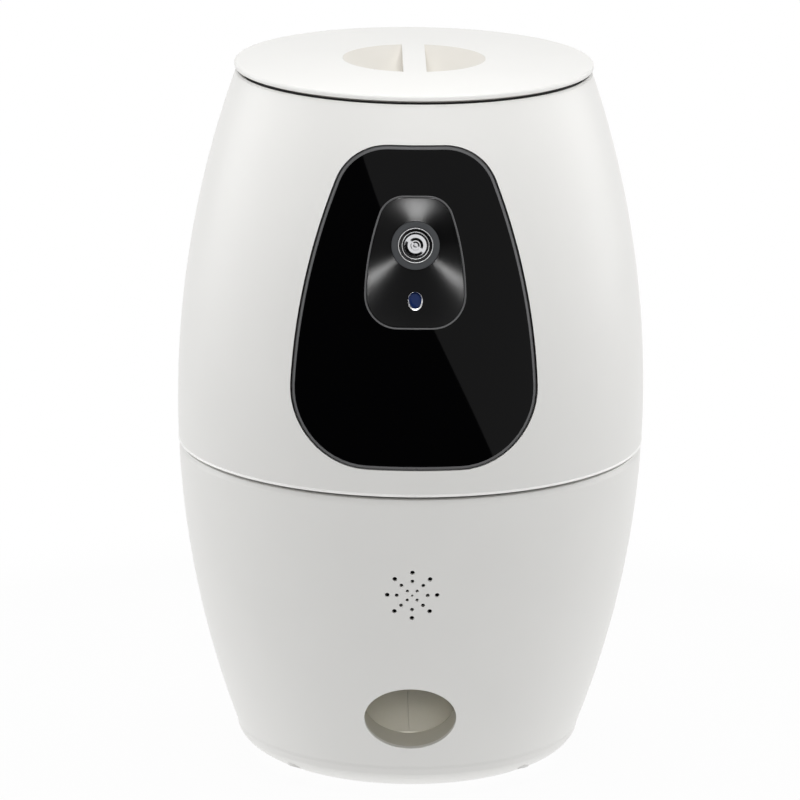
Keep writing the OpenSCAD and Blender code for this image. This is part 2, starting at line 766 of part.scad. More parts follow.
module lower_shell() {
    floor_z = cover_t + ledge_t;
    ledge_r = sole_r - ledge_w;
    skin_inset = 0.6;
    speaker_tip = pad_d + gasket_t + speaker_rim - speaker_screw_len;
    color("white") raised() difference() {
        union() {
            rotate_extrude() polygon(concat(lower_points(0, 0), reversed(lower_points(wall, floor_z)),
                [[ledge_r, floor_z], [ledge_r, cover_t], [sole_r, cover_t]]));
            intersection() {
                lower_core(skin_inset);
                lower_posts();
            }
        }
        around(4, post_ring, 45) {
            translate([0, 0, -over]) cylinder(r = case_head_r + slide_gap, h = counterbore_z + over);
            cylinder(r = case_screw_r + slide_gap, h = deck_z);
        }
        both_sides(ear_x) translate([0, drum_y, ear_z - house_screw_len])
            cylinder(r = screw_r + press_gap, h = house_screw_len + over);
        around(4, base_bolt_ring, 45) cylinder(r = screw_r + press_gap, h = floor_z + 2 * over);
        at_wall(speaker_z) {
            sound_holes(-wall, pad_d + over);
            both_sides(ear_ring) rod_y(screw_r + press_gap, speaker_tip - sunk, pad_d + over);
        }
        translate([0, 0, main_z]) four_corners(main_post)
            rod_y(screw_r + press_gap, main_y, main_y + board_screw_len + over);
        translate([0, 0, port_z]) port_cuts();
        translate([0, 0, outlet_z]) front_prism(outlet_oval(0), cut_in, belly_r);
    }
}

module base_cover() {
    cover_r = sole_r - slide_gap;
    color("white") raised() difference() {
        cylinder(r = cover_r, h = cover_t - lay_gap);
        around(4, foot_ring, 0) translate([0, 0, -over])
            cylinder(r = foot_r + lay_gap, h = over + foot_seat);
        around(4, base_bolt_ring, 45) {
            translate([0, 0, -over]) cylinder(r = pan_r + slide_gap, h = over + pan_h + lay_gap);
            cylinder(r = screw_r + lay_gap, h = cover_t + over);
        }
    }
}

module rubber_feet() {
    soft = 0.5;
    color("dimgray") around(4, foot_ring, 0) {
        cylinder(r1 = foot_r - soft, r2 = foot_r, h = soft);
        translate([0, 0, soft]) cylinder(r = foot_r, h = foot_h + foot_seat - soft);
    }
}

module base_screws() {
    color("silver") raised() around(4, base_bolt_ring, 45)
        translate([0, 0, pan_h + lay_gap]) mirror([0, 0, 1]) small_screw(cover_t + ledge_t - over);
}

module case_screws() {
    color("silver") raised() around(4, post_ring, 45)
        translate([0, 0, counterbore_z]) mirror([0, 0, 1]) case_screw(case_screw_len);
}

module deck_plate() {
    deck_r = side_r(deck_z) - wall - deck_room;
    hole = chute_outer + lay_gap;
    bored = deck_t + 2 * over;
    color("gainsboro") raised() difference() {
        union() {
            translate([0, 0, deck_z - deck_t]) cylinder(r = deck_r, h = deck_t);
            around(4, post_ring, 45) translate([0, 0, deck_z - sunk])
                cylinder(r = deck_boss_r, h = post_boss_h + sunk);
        }
        translate([0, 0, deck_z - deck_t - over]) {
            cylinder(r = rotor_shaft_r + bush_wall + press_gap, h = bored);
            translate([0, -motor_y, 0]) {
                cylinder(r = motor_boss_r + lay_gap, h = bored);
                both_sides(portion_motor_r - motor_screw_in) cylinder(r = screw_r + lay_gap, h = bored);
            }
            translate([-hole, drop_y - hole, 0]) cube([2 * hole, 2 * hole, bored]);
            around(4, deck_bolt_ring, 0) cylinder(r = case_screw_r + lay_gap, h = bored);
            around(4, post_ring, 45) cylinder(r = case_screw_r + press_gap, h = deck_t + post_boss_h);
        }
    }
}

module deck_screws() {
    color("silver") raised() around(4, deck_bolt_ring, 0)
        translate([0, 0, deck_z - deck_t]) mirror([0, 0, 1]) case_screw(deck_screw_len);
}

module hopper() {
    bush_r = rotor_shaft_r + bush_wall + press_gap;
    half = drop_w / 2;
    color("whitesmoke") raised() difference() {
        union() {
            rotate_extrude() polygon([[0, hopper_z], [tub_r + tub_wall, hopper_z],
                [tub_r + tub_wall, funnel_z], [neck_r, land_z], [neck_r, lip_z], [flange_r, lip_z],
                [flange_r, neck_top], [groove_r, neck_top], [groove_r, groove_z], [land_r, groove_z],
                [land_r, land_z], [tub_r, funnel_z], [tub_r, hopper_floor], [0, hopper_floor]]);
            for (i = [0:bayonets - 1]) rotate([0, 0, (360 * i + 180) / bayonets - tab_arc / 2])
                rotate_extrude(angle = tab_arc)
                translate([land_r, tab_z]) square([groove_d + sunk, tab_t]);
        }
        translate([0, 0, hopper_z - over]) cylinder(r = bush_r, h = floor_t + 2 * over);
        translate([-half, drop_y - half, hopper_z - over]) cube([drop_w, drop_w, floor_t + 2 * over]);
        around(4, hopper_bolt_ring, 45) {
            translate([0, 0, lip_z - over]) cylinder(r = screw_r + lay_gap, h = flange_t + 2 * over);
            translate([0, 0, neck_top - pan_h]) cylinder(r = pan_r + lay_gap, h = pan_h + over);
        }
    }
}

module hopper_screws() {
    color("silver") raised() around(4, hopper_bolt_ring, 45)
        translate([0, 0, neck_top - pan_h]) small_screw(lip_t + hopper_boss_h / 2);
}

module drop_cover() {
    spread = 80;
    rise = 12;
    skin = 2;
    z0 = rotor_z + vane_h + slide_gap * 2;
    r0 = rotor_hub_r + rotor_shaft_r;
    r1 = tub_r - press_gap;
    color("whitesmoke") raised() rotate([0, 0, 90 - spread / 2]) rotate_extrude(angle = spread)
        polygon([[r0, z0], [r1, z0], [r1, z0 + rise], [r1 - skin, z0 + rise], [r0, z0 + skin]]);
}

module lid_cap() {
    bowl_r = sqrt(pow(grip_ball + lid_wall, 2) - pow(grip_z - lid_z, 2));
    edge_r = lid_r - lid_round;
    edge_top = crown_z(edge_r);
    color("white") raised() difference() {
        union() {
            rotate_extrude() polygon(concat(
                [for (i = [0:arc_steps]) let (r = edge_r * i / arc_steps) [r, crown_z(r)]],
                arc([edge_r, edge_top - lid_round], lid_round, 75, 0, 4),
                [[lid_r, lid_z + lid_round / 2], [lid_r - lid_round / 2, lid_z]],
                [for (i = [arc_steps:-1:0]) let (r = bowl_r * i / arc_steps) [r, bowl_z(r)]]));
            translate([0, 0, liner_top + lay_gap]) cylinder(r = boss_r, h = bowl_under - liner_top + sunk);
            translate([0, 0, groove_z + slide_gap]) tube(skirt_r, skirt_r - skirt_t, lid_z - groove_z);
            for (i = [0:bayonets - 1]) rotate([0, 0, 360 * i / bayonets - lug_arc / 2])
                rotate_extrude(angle = lug_arc)
                translate([skirt_r - sunk, lug_z]) square([lug_r - skirt_r + sunk, lug_h]);
        }
        for (s = [0, 1]) mirror([s, 0, 0]) intersection() {
            translate([0, 0, grip_z]) sphere(r = grip_ball, $fn = 96);
            translate([bar_w / 2, -lid_r, bowl_under - lid_wall]) cube([lid_r, 2 * lid_r, 2 * grip_ball]);
        }
        translate([0, 0, liner_top - over]) cylinder(r = pivot_r + press_gap, h = screw_hole_depth + over);
    }
}

module lid_liner() {
    rim_out = seal_r - seal_w - press_gap;
    rim_t = 2;
    color("whitesmoke") raised() difference() {
        union() {
            translate([0, 0, liner_z]) {
                cylinder(r = seal_r - seal_proud, h = groove_lip);
                cylinder(r = rim_out, h = liner_t);
                tube(rim_out, rim_out - rim_t, liner_h);
                cylinder(r = boss_r, h = liner_h);
            }
            translate([0, 0, liner_top - groove_lip]) tube(seal_r - seal_proud, rim_out - over, groove_lip);
        }
        translate([0, 0, liner_z - over]) cylinder(r = pivot_r + run_gap, h = liner_h + 2 * over);
    }
}

module lid_seal() {
    color("lightgray") raised() translate([0, 0, liner_z + groove_lip + lay_gap / 2])
        tube(seal_r, seal_r - seal_w, liner_h - 2 * groove_lip - lay_gap);
}

module lid_pivot_screw() {
    color("silver") raised() translate([0, 0, liner_z - lay_gap]) mirror([0, 0, 1])
        screw(pivot_r, liner_h + screw_hole_depth - over, pivot_head_r, pivot_head_h);
}

module portion_rotor() {
    nose_h = 6;
    color("khaki") raised() translate([0, 0, rotor_z]) difference() {
        union() {
            cylinder(r = rotor_hub_r, h = vane_h);
            translate([0, 0, vane_h - sunk])
                cylinder(r1 = rotor_hub_r, r2 = rotor_shaft_r, h = nose_h + sunk);
            for (i = [0:vanes - 1]) rotate([0, 0, 360 * i / vanes])
                translate([rotor_hub_r - over, -vane_t / 2, 0])
                cube([rotor_r - rotor_hub_r, vane_t, vane_h]);
        }
        translate([0, 0, -over]) cylinder(r = rotor_shaft_r + press_gap, h = vane_h - shaft_seat + over);
    }
}

module rotor_shaft() {
    low = deck_z - deck_t;
    color("silver") raised() translate([0, 0, low])
        cylinder(r = rotor_shaft_r, h = rotor_z + vane_h - shaft_seat - sunk - low);
}

module rotor_gear() {
    color("ivory") raised() translate([0, 0, gear_z]) difference() {
        linear_extrude(gear_t) polygon(gear_outline(gear_teeth));
        translate([0, 0, -over]) cylinder(r = rotor_shaft_r + press_gap, h = gear_t + 2 * over);
    }
}

module rotor_bushes() {
    r_in = rotor_shaft_r + run_gap;
    r_out = rotor_shaft_r + bush_wall;
    color("goldenrod") raised() {
        translate([0, 0, deck_z - deck_t]) tube(r_out, r_in, deck_t + bush_flange);
        translate([0, 0, deck_z + press_gap]) tube(r_out + bush_flange_w, r_in, bush_flange - press_gap);
        translate([0, 0, hopper_z - bush_flange]) {
            tube(r_out, r_in, floor_t + bush_flange);
            tube(r_out + bush_flange_w, r_in, bush_flange - press_gap);
        }
    }
}

// Geared motor with its shaft hole up +Z and its mounting face at the origin
module geared_motor(radius, length, boss_h) {
    box_len = length * 0.45;
    can_r = radius * 0.82;
    end_h = 1.5;
    bore = length * motor_bore;
    difference() {
        union() {
            translate([0, 0, -box_len]) cylinder(r = radius, h = box_len);
            translate([0, 0, -length]) cylinder(r = can_r, h = length - box_len + sunk);
            translate([0, 0, -length - end_h]) cylinder(r = can_r / 3, h = end_h + sunk);
            translate([0, 0, -sunk]) cylinder(r = motor_boss_r, h = boss_h + sunk);
        }
        translate([0, 0, -bore]) cylinder(r = motor_shaft_r + run_gap, h = bore + boss_h + over);
        both_sides(radius - motor_screw_in) translate([0, 0, -motor_screw_d])
            cylinder(r = screw_r + press_gap, h = motor_screw_d + over);
    }
}

module rotor_motor() {
    color("silver") raised() translate([0, -motor_y, deck_z - deck_t])
        geared_motor(portion_motor_r, portion_motor_len, deck_t - sunk);
}

module motor_shaft() {
    low = deck_z - deck_t - portion_motor_len * motor_bore + sunk;
    color("silver") raised() translate([0, -motor_y, low])
        cylinder(r = motor_shaft_r, h = gear_z + gear_t + sunk - low);
}

module drive_pinion() {
    color("ivory") raised() translate([0, -motor_y, gear_z]) difference() {
        linear_extrude(gear_t) polygon(gear_outline(pinion_teeth));
        translate([0, 0, -over]) cylinder(r = motor_shaft_r + press_gap, h = gear_t + 2 * over);
    }
}

module drop_chute() {
    inner = drop_w / 2;
    tab_w = 6;
    tab_in = 4;
    tab_h = 2;
    height = hopper_z - chute_low;
    color("whitesmoke") raised() translate([0, drop_y, 0]) difference() {
        union() {
            translate([-chute_outer, -chute_outer, chute_low])
                cube([2 * chute_outer, 2 * chute_outer, height - lay_gap]);
            translate([-chute_outer - tab_w, tab_in - chute_outer, deck_z + lay_gap])
                cube([2 * (chute_outer + tab_w), 2 * (chute_outer - tab_in), tab_h]);
        }
        translate([-inner, -inner, chute_low - over]) cube([drop_w, drop_w, height + 2 * over]);
    }
}

// Whole launch housing before it is split along its middle
module launch_housing() {
    sleeve_hole = sleeve_t + sleeve_fit + lay_gap;
    ear_len = ear_x + ear_half - house_half + over;
    difference() {
        union() {
            side_prism(passage(house_wall, mouth_y), -house_half, house_half);
            translate([0, 0, outlet_z])
                front_prism(outlet_oval(sleeve_hole + house_wall), mouth_y - 2 * over, mouth_y + mouth_d);
            for (s = [0, 1]) mirror([s, 0, 0]) translate([house_half - over, drum_y - ear_half, ear_z])
                cube([ear_len, 2 * ear_half, ear_t]);
        }
        side_prism(passage(0, mouth_y + over), -drum_half, drum_half);
        translate([-drum_half, drop_y - inlet_half, inlet_top - over])
            cube([2 * drum_half, 2 * inlet_half, 3 * over]);
        translate([0, 0, outlet_z])
            front_prism(outlet_oval(sleeve_hole), mouth_y, mouth_y + mouth_d + over);
        both_sides(ear_x) translate([0, drum_y, ear_z - over])
            cylinder(r = screw_r + lay_gap, h = ear_t + 2 * over);
        translate([0, drum_y, drum_z]) {
            rod_x(motor_shaft_r + run_gap + bush_wall + press_gap, -house_half - over, 0);
            rod_x(motor_boss_r + lay_gap, 0, house_half + over);
            for (s = [-1, 1]) translate([0, s * (throw_motor_r - motor_screw_in), 0]) {
                rod_x(screw_r + lay_gap, 0, house_half + over);
                rod_x(pan_r + lay_gap, 0, drum_half + pan_h);
            }
        }
    }
}

// Half of a block about the middle, which keeps one side of the launch housing
module right_half() {
    translate([lay_gap / 2, -cut_out, 0]) cube([cut_out, 2 * cut_out, 2 * cut_out]);
}

module launch_housing_left() {
    color("wheat") raised() intersection() {
        launch_housing();
        mirror([1, 0, 0]) right_half();
    }
}

module launch_housing_right() {
    color("wheat") raised() intersection() {
        launch_housing();
        right_half();
    }
}

module housing_screws() {
    color("silver") raised() both_sides(ear_x) translate([0, drum_y, ear_z + ear_t])
        small_screw(house_screw_len);
}

module throw_hub() {
    slot_t = throw_t + 2 * press_gap;
    slot_low = throw_hub_r / 2 - press_gap;
    color("ivory") raised() translate([0, drum_y, drum_z]) difference() {
        rod_x(throw_hub_r, -hub_half, hub_half);
        rod_x(motor_shaft_r + press_gap, -hub_half - over, hub_half + over);
        for (i = [0:throw_count - 1]) rotate([360 * i / throw_count, 0, 0])
            translate([-hub_half - over, -slot_t / 2, slot_low])
            cube([2 * (hub_half + over), slot_t, throw_hub_r]);
    }
}

module throw_vanes() {
    root = throw_hub_r / 2;
    color("dimgray") raised() translate([0, drum_y, drum_z])
        for (i = [0:throw_count - 1]) rotate([360 * i / throw_count, 0, 0])
            translate([-hub_half, -throw_t / 2, root]) cube([2 * hub_half, throw_t, vane_r - root]);
}

module throw_shaft() {
    color("silver") raised() translate([0, drum_y, drum_z])
        rod_x(motor_shaft_r, -house_half - over, house_half + throw_motor_len * motor_bore - sunk);
}

module throw_bush() {
    r_out = motor_shaft_r + run_gap + bush_wall;
    color("goldenrod") raised() translate([0, drum_y, drum_z]) difference() {
        union() {
            rod_x(r_out, -house_half - sunk, bush_flange - drum_half);
            rod_x(r_out + bush_flange_w, press_gap - drum_half, bush_flange - drum_half);
        }
        rod_x(motor_shaft_r + run_gap, -house_half - 2 * over, 0);
    }
}

module throw_motor() {
    color("silver") raised() translate([house_half, drum_y, drum_z]) rotate([0, -90, 0]) rotate([0, 0, 90])
        geared_motor(throw_motor_r, throw_motor_len, house_wall - sunk);
}

module motor_screws() {
    reach = motor_screw_d - over;
    color("silver") raised() {
        translate([0, -motor_y, deck_z]) both_sides(portion_motor_r - motor_screw_in)
            small_screw(deck_t + reach);
        for (s = [-1, 1])
            translate([drum_half + pan_h, drum_y + s * (throw_motor_r - motor_screw_in), drum_z])
            rotate([0, -90, 0]) small_screw(house_wall - pan_h + reach);
    }
}

module outlet_sleeve() {
    color("wheat") raised() difference() {
        intersection() {
            translate([0, 0, outlet_z])
                front_prism(outlet_oval(sleeve_fit + sleeve_t), mouth_y + lay_gap, belly_r);
            lower_core(wall + lay_gap);
        }
        translate([0, 0, outlet_z]) front_prism(outlet_oval(sleeve_fit), cut_in, cut_out);
    }
}

// Sheet of the window's thickness lying just under the skin
module window_sheet(grow) {
    intersection() {
        front_prism(window_outline(grow), cut_in, cut_out);
        front_skin(win_bottom - win_spare, win_top + win_spare, win_sink, win_sink + win_t);
    }
}

module front_window() {
    color("black") raised() difference() {
        window_sheet(-trim_w - press_gap);
        front_prism(pod_outline(press_gap), cut_in, cut_out);
    }
}

module window_trim() {
    color("dimgray") raised() difference() {
        window_sheet(0);
        front_prism(window_outline(-trim_w), cut_in - over, cut_out + over);
    }
}

module camera_bezel() {
    back = side_r(pod_top) - pod_back;
    post_root = 3.5;
    dish_end = 0.3;
    pocket_y = dish_d + 3;
    pocket = holder_half + lay_gap;
    through = pod_d + lens_len;
    color("dimgray") raised() difference() {
        union() {
            intersection() {
                front_prism(pod_outline(0), back, cut_out);
                front_skin(pod_bottom - win_spare, pod_top + win_spare, win_sink, 3 * pod_d);
            }
            at_wall(lens_z) for (p = camera_posts) translate([p[0], 0, p[1]])
                rod_y(camera_post_r, pod_back - post_root, camera_board_y - lay_gap);
        }
        hull() {
            front_prism(pod_outline(-pod_rim, 3), side_r(pod_bottom), side_r(pod_bottom) + over);
            at_wall(lens_z) rod_y(disc_r, dish_d - sunk, dish_d - sunk + dish_end, $fn = 24);
        }
        at_wall(lens_z) {
            rod_y(lens_r + lay_gap, -over, through);
            rod_y(disc_r + lay_gap, -over, dish_d);
            translate([-pocket, pocket_y, -pocket]) cube([2 * pocket, through, 2 * pocket]);
            translate([0, 0, sensor_out]) rear_prism(sensor_oval(press_gap), -pod_d, through);
            for (p = camera_posts) translate([p[0], 0, p[1]])
                rod_y(screw_r + press_gap, camera_board_y - board_screw_len, camera_board_y + over);
        }
    }
}

module lens_disc() {
    color("gray") raised() at_wall(lens_z) difference() {
        rod_y(disc_r, dish_d - disc_t - lay_gap, dish_d - lay_gap);
        rod_y(lens_r + lay_gap, 0, dish_d + over);
    }
}

module lens_ring() {
    color("white") raised() at_wall(lens_z) difference() {
        rod_y(lens_r, lens_front, lens_front + lens_ring_d);
        rod_y(lens_r - lens_ring_w, lens_front - over, lens_front + lens_ring_d + over);
    }
}

module lens_barrel() {
    face_sink = 0.2;
    color("black") raised() at_wall(lens_z) difference() {
        union() {
            rod_y(lens_r - lens_ring_w - press_gap, lens_front + face_sink,
                lens_front + lens_ring_d + sunk);
            rod_y(lens_r, lens_front + lens_ring_d + press_gap, lens_back);
        }
        rod_y(glass_r + press_gap, lens_front - over, lens_front + glass_seat);
        rod_y(glass_r * 0.7, lens_front - over, lens_back + over);
    }
}

module lens_glass() {
    dome = 1.4;
    glass_sink = 0.6;
    ball = (glass_r * glass_r + dome * dome) / (2 * dome);
    color("lightblue") raised() at_wall(lens_z) intersection() {
        rod_y(glass_r, lens_front, lens_front + glass_seat - press_gap);
        translate([0, lens_front + glass_sink + ball, 0]) sphere(r = ball);
    }
}

module sensor_ring() {
    front = 1.6;
    length = 5.4;
    color("silver") raised() at_wall(lens_z) translate([0, 0, sensor_out]) difference() {
        rear_prism(sensor_oval(0), front, front + length);
        rear_prism(sensor_oval(-sensor_ring_t), front - over, front + length + over);
    }
}

module sensor_window() {
    front = 2.4;
    length = 3.6;
    color("midnightblue") raised() at_wall(lens_z) translate([0, 0, sensor_out])
        rear_prism(sensor_oval(-sensor_ring_t - press_gap), front, front + length);
}

module camera_board() {
    color("darkgreen") raised() at_wall(lens_z) difference() {
        translate([-camera_board_half, camera_board_y, camera_board_low])
            cube([2 * camera_board_half, board_t, camera_board_high - camera_board_low]);
        for (p = camera_posts) translate([p[0], 0, p[1]])
            rod_y(screw_r + lay_gap, camera_board_y - over, camera_board_y + board_t + over);
    }
}

module lens_holder() {
    stop_w = 2;
    color("black") raised() at_wall(lens_z) difference() {
        translate([-holder_half, holder_y, -holder_half])
            cube([2 * holder_half, camera_board_y - lay_gap - holder_y, 2 * holder_half]);
        rod_y(lens_r + press_gap, 0, lens_back + sunk);
        rod_y(lens_r - stop_w, 0, camera_board_y + over);
    }
}

module speaker_gasket() {
    color("darkgray") raised() at_wall(speaker_z) difference() {
        rod_y(speaker_r, pad_d + press_gap, pad_d + gasket_t);
        rod_y(speaker_r - pad_w, 0, pad_d + gasket_t + over);
    }
}

module speaker_frame() {
    face = pad_d + gasket_t + press_gap;
    back = face + frame_d;
    skin = 2.2;
    wide = speaker_r - over;
    narrow = magnet_r + over;
    vent = magnet_r - 3;
    color("dimgray") raised() at_wall(speaker_z) difference() {
        union() {
            rod_y(speaker_r, face, face + speaker_rim);
            both_sides(ear_ring) rod_y(ear_r, face, face + speaker_rim);
            translate([-ear_ring, face, -ear_r]) cube([2 * ear_ring, speaker_rim, 2 * ear_r]);
            cone_y(wide, narrow, face + speaker_rim - sunk, back);
        }
        cone_y(speaker_r - skin, narrow - skin, face - sunk, back - over);
        rod_y(vent, face, back + over);
        both_sides(ear_ring) rod_y(screw_r + lay_gap, face - over, face + speaker_rim + over);
    }
}

module speaker_cone() {
    face = pad_d + gasket_t + 2 * press_gap;
    rise = frame_d - 3;
    paper = 0.8;
    edge_r = speaker_r - pad_w - 2 * sunk;
    fold_r = edge_r - 1.1;
    cap_r = magnet_r - 4;
    lift = 0.2;
    color("black") raised() at_wall(speaker_z) translate([0, face, 0]) rotate([-90, 0, 0])
        rotate_extrude() polygon([[0, rise], [cap_r, rise], [fold_r, paper], [edge_r, lift],
            [edge_r, lift + paper], [fold_r, 2 * paper], [cap_r, rise + paper], [0, rise + paper]]);
}

module speaker_magnet() {
    face = pad_d + gasket_t + frame_d + 2 * press_gap;
    color("silver") raised() at_wall(speaker_z) rod_y(magnet_r, face, face + magnet_d);
}

module speaker_screws() {
    face = pad_d + gasket_t + speaker_rim + 2 * press_gap;
    color("silver") raised() at_wall(speaker_z) both_sides(ear_ring)
        translate([0, face, 0]) rotate([-90, 0, 0]) small_screw(speaker_screw_len);
}

module main_board() {
    color("darkgreen") raised() translate([0, main_y, main_z]) difference() {
        translate([-main_half[0], 0, -main_half[1]]) cube([2 * main_half[0], board_t, 2 * main_half[1]]);
        four_corners(main_post) rod_y(screw_r + lay_gap, -over, board_t + over);
    }
}

// Block on the near face of a board, set by its lower left corner
module chip(x, z, size) {
    translate([x, -size[1], z]) cube(size);
}

module board_parts() {
    processor = [14, 1.4, 14];
    radio = [9, 2.8, 12];
    plug = [7, 5.5, 5];
    plug_step = 9;
    can_r = 3;
    can_h = 8;
    color("black") raised() translate([0, main_y - press_gap, main_z]) {
        chip(-7, -6, processor);
        chip(10, -8, radio);
        for (i = [0:2]) chip(plug_step * (i - 2), -15, plug);
        translate([-15, 0, 4]) rotate([90, 0, 0]) cylinder(r = can_r, h = can_h);
    }
}

module board_screws() {
    color("silver") raised() {
        translate([0, main_y, main_z]) four_corners(main_post)
            rotate([90, 0, 0]) small_screw(board_screw_len);
        translate([0, port_board_y, port_z + port_post[1]]) both_sides(port_post[0])
            rotate([90, 0, 0]) small_screw(port_board_screw_len);
        at_wall(lens_z) for (p = camera_posts) translate([p[0], camera_board_y + board_t, p[1]])
            rotate([-90, 0, 0]) small_screw(board_screw_len);
    }
}

module port_plate() {
    plate_w = port_w - 2 * lay_gap;
    plate_h = port_h - 2 * lay_gap;
    skin_inset = 0.2;
    color("whitesmoke") raised() difference() {
        intersection() {
            translate([0, 0, port_z])
                rear_prism(round_box(plate_w, plate_h, port_round), port_floor + lay_gap, cut_out);
            lower_core(skin_inset);
        }
        translate([0, 0, port_z]) {
            rear_prism(round_box(plate_w - 2 * port_rim, plate_h - 2 * port_rim, port_round - port_rim),
                port_y, cut_out);
            translate([jack_at[0], 0, jack_at[1]])
                rod_y(jack_r + jack_wall + lay_gap, port_floor - over, port_y + over);
            translate([button_at[0], 0, button_at[1]])
                rod_y(button_r + run_gap, port_floor - over, port_y + over);
            translate([light_at[0], 0, light_at[1]])
                rod_y(light_r + run_gap, port_floor - over, port_y + over);
            both_sides(port_screw_x) {
                rod_y(screw_r + lay_gap, port_floor - over, port_y + over);
                rod_y(pan_r + lay_gap, port_y - screw_seat, port_y + over);
            }
        }
    }
}

module port_screws() {
    color("silver") raised() translate([0, port_y - screw_seat, port_z]) both_sides(port_screw_x)
        rotate([-90, 0, 0]) small_screw(port_screw_len);
}

module power_jack() {
    back = port_board_y + board_t + press_gap;
    pin_r = 1;
    color("black") raised() translate([jack_at[0], 0, port_z + jack_at[1]]) {
        difference() {
            union() {
                translate([-jack_half[0], back, -jack_half[1]])
                    cube([2 * jack_half[0], port_floor - over - back, 2 * jack_half[1]]);
                rod_y(jack_r + jack_wall, back, port_y);
            }
            rod_y(jack_r, port_y - jack_bore, port_y + over);
        }
        rod_y(pin_r, port_y - jack_bore - sunk, port_y - over);
    }
}

module port_board() {
    face = port_board_y + board_t;
    color("darkgreen") raised() translate([0, 0, port_z]) difference() {
        union() {
            translate([-port_board_half[0], port_board_y, -port_board_half[1]])
                cube([2 * port_board_half[0], board_t, 2 * port_board_half[1]]);
            translate([button_at[0] - switch_half, face - sunk, button_at[1] - switch_half])
                cube([2 * switch_half, switch_h + sunk, 2 * switch_half]);
        }
        translate([button_at[0], 0, button_at[1]])
            rod_y(stem_r + run_gap, face + switch_floor, face + switch_h + over);
        both_sides(port_post[0]) translate([0, 0, port_post[1]])
            rod_y(screw_r + lay_gap, port_board_y - over, face + over);
    }
}

module reset_button() {
    low = port_board_y + board_t + switch_floor + button_travel + slide_gap;
    color("gray") raised() translate([button_at[0], 0, port_z + button_at[1]]) {
        rod_y(stem_r, low, port_floor - over);
        rod_y(button_r + button_flange_w, port_floor - button_flange, port_floor - lay_gap / 2);
        rod_y(button_r, port_floor - over, port_y + button_proud);
    }
}

module status_light() {
    light_proud = 0.3;
    color("lightgreen") raised() translate([light_at[0], 0, port_z + light_at[1]])
        rod_y(light_r, port_board_y + board_t + press_gap, port_y + light_proud);
}

upper_shell();
lower_shell();
base_cover();
rubber_feet();
base_screws();
case_screws();
deck_plate();
deck_screws();
hopper();
hopper_screws();
drop_cover();
lid_cap();
lid_seal();
lid_liner();
lid_pivot_screw();
portion_rotor();
rotor_shaft();
rotor_gear();
rotor_bushes();
rotor_motor();
motor_shaft();
drive_pinion();
drop_chute();
launch_housing_left();
launch_housing_right();
housing_screws();
throw_hub();
throw_vanes();
throw_shaft();
throw_bush();
throw_motor();
motor_screws();
outlet_sleeve();
front_window();
window_trim();
camera_bezel();
lens_disc();
lens_ring();
lens_barrel();
lens_glass();
sensor_ring();
sensor_window();
camera_board();
lens_holder();
speaker_gasket();
speaker_frame();
speaker_cone();
speaker_magnet();
speaker_screws();
main_board();
board_parts();
board_screws();
port_plate();
power_jack();
port_board();
reset_button();
status_light();
port_screws();
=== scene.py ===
"""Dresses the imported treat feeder: smooth shells, a glossy window, its camera, and a finish on every piece.

Sizes are millimetres above the casing's underside, as on a drawing. The workshop turns them into the
frame's metres when it hands a piece over.
"""

from __future__ import annotations

import json
import logging
import math
from collections.abc import Callable, Iterable, Sequence
from dataclasses import dataclass, field
from enum import Enum

import bmesh
import bpy
from mathutils import Matrix, Vector

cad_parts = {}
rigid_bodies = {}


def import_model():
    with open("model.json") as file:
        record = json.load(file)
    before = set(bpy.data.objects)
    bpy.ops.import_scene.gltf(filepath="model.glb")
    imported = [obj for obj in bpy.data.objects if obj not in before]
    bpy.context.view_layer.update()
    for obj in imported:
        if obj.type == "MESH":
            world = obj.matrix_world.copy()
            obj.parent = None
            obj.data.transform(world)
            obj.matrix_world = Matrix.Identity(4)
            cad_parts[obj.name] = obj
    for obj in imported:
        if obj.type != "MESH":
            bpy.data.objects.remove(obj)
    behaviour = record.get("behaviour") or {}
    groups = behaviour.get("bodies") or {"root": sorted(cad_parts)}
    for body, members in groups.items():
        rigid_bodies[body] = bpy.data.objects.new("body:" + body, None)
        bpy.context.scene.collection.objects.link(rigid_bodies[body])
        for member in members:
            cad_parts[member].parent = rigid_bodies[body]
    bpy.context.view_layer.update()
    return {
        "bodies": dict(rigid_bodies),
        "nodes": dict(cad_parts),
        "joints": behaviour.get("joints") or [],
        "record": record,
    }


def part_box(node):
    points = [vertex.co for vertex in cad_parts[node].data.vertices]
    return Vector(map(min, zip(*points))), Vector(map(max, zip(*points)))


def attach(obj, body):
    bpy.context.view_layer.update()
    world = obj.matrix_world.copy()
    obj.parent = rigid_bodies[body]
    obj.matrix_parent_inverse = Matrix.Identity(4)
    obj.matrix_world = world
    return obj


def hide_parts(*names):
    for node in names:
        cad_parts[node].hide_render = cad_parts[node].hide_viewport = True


LOG = logging.getLogger("feeder")
MM = 0.001
TURN = 2.0 * math.pi
MERGE = 1e-4
SIDE_SHARE = 0.49
ON_SKIN = 0.985
POD_AT = (0.0, -0.075, 0.205)
POD = ("camera_pod_dish",)
OUTLET = ("outlet_sleeve_liner", "launch_housing_left", "launch_housing_right", "throw_hub", "throw_vanes")
WHITE = (1.0, 1.0, 1.0, 1.0)
BLACK = (0.0, 0.0, 0.0, 1.0)

Point = tuple[float, float]
Corner = tuple[float, float, float]
Loop = list[Vector]


class Body(Enum):
    """The frame's bodies that pieces ride on."""

    CASING = "casing"
    LID_INSERT = "lid_insert"
    LID = "lid"
    ROTOR = "rotor"
    BUTTON = "button"


class Axis(Enum):
    """Directions that a turned form can be laid along."""

    BACK = Matrix.Rotation(math.radians(-90.0), 4, "X")
    DOWN = Matrix.Rotation(math.radians(180.0), 4, "X")


def spin(angle: float, axis: str = "Z") -> Matrix:
    """Turn by an angle in degrees about an axis."""
    return Matrix.Rotation(math.radians(angle), 4, axis)


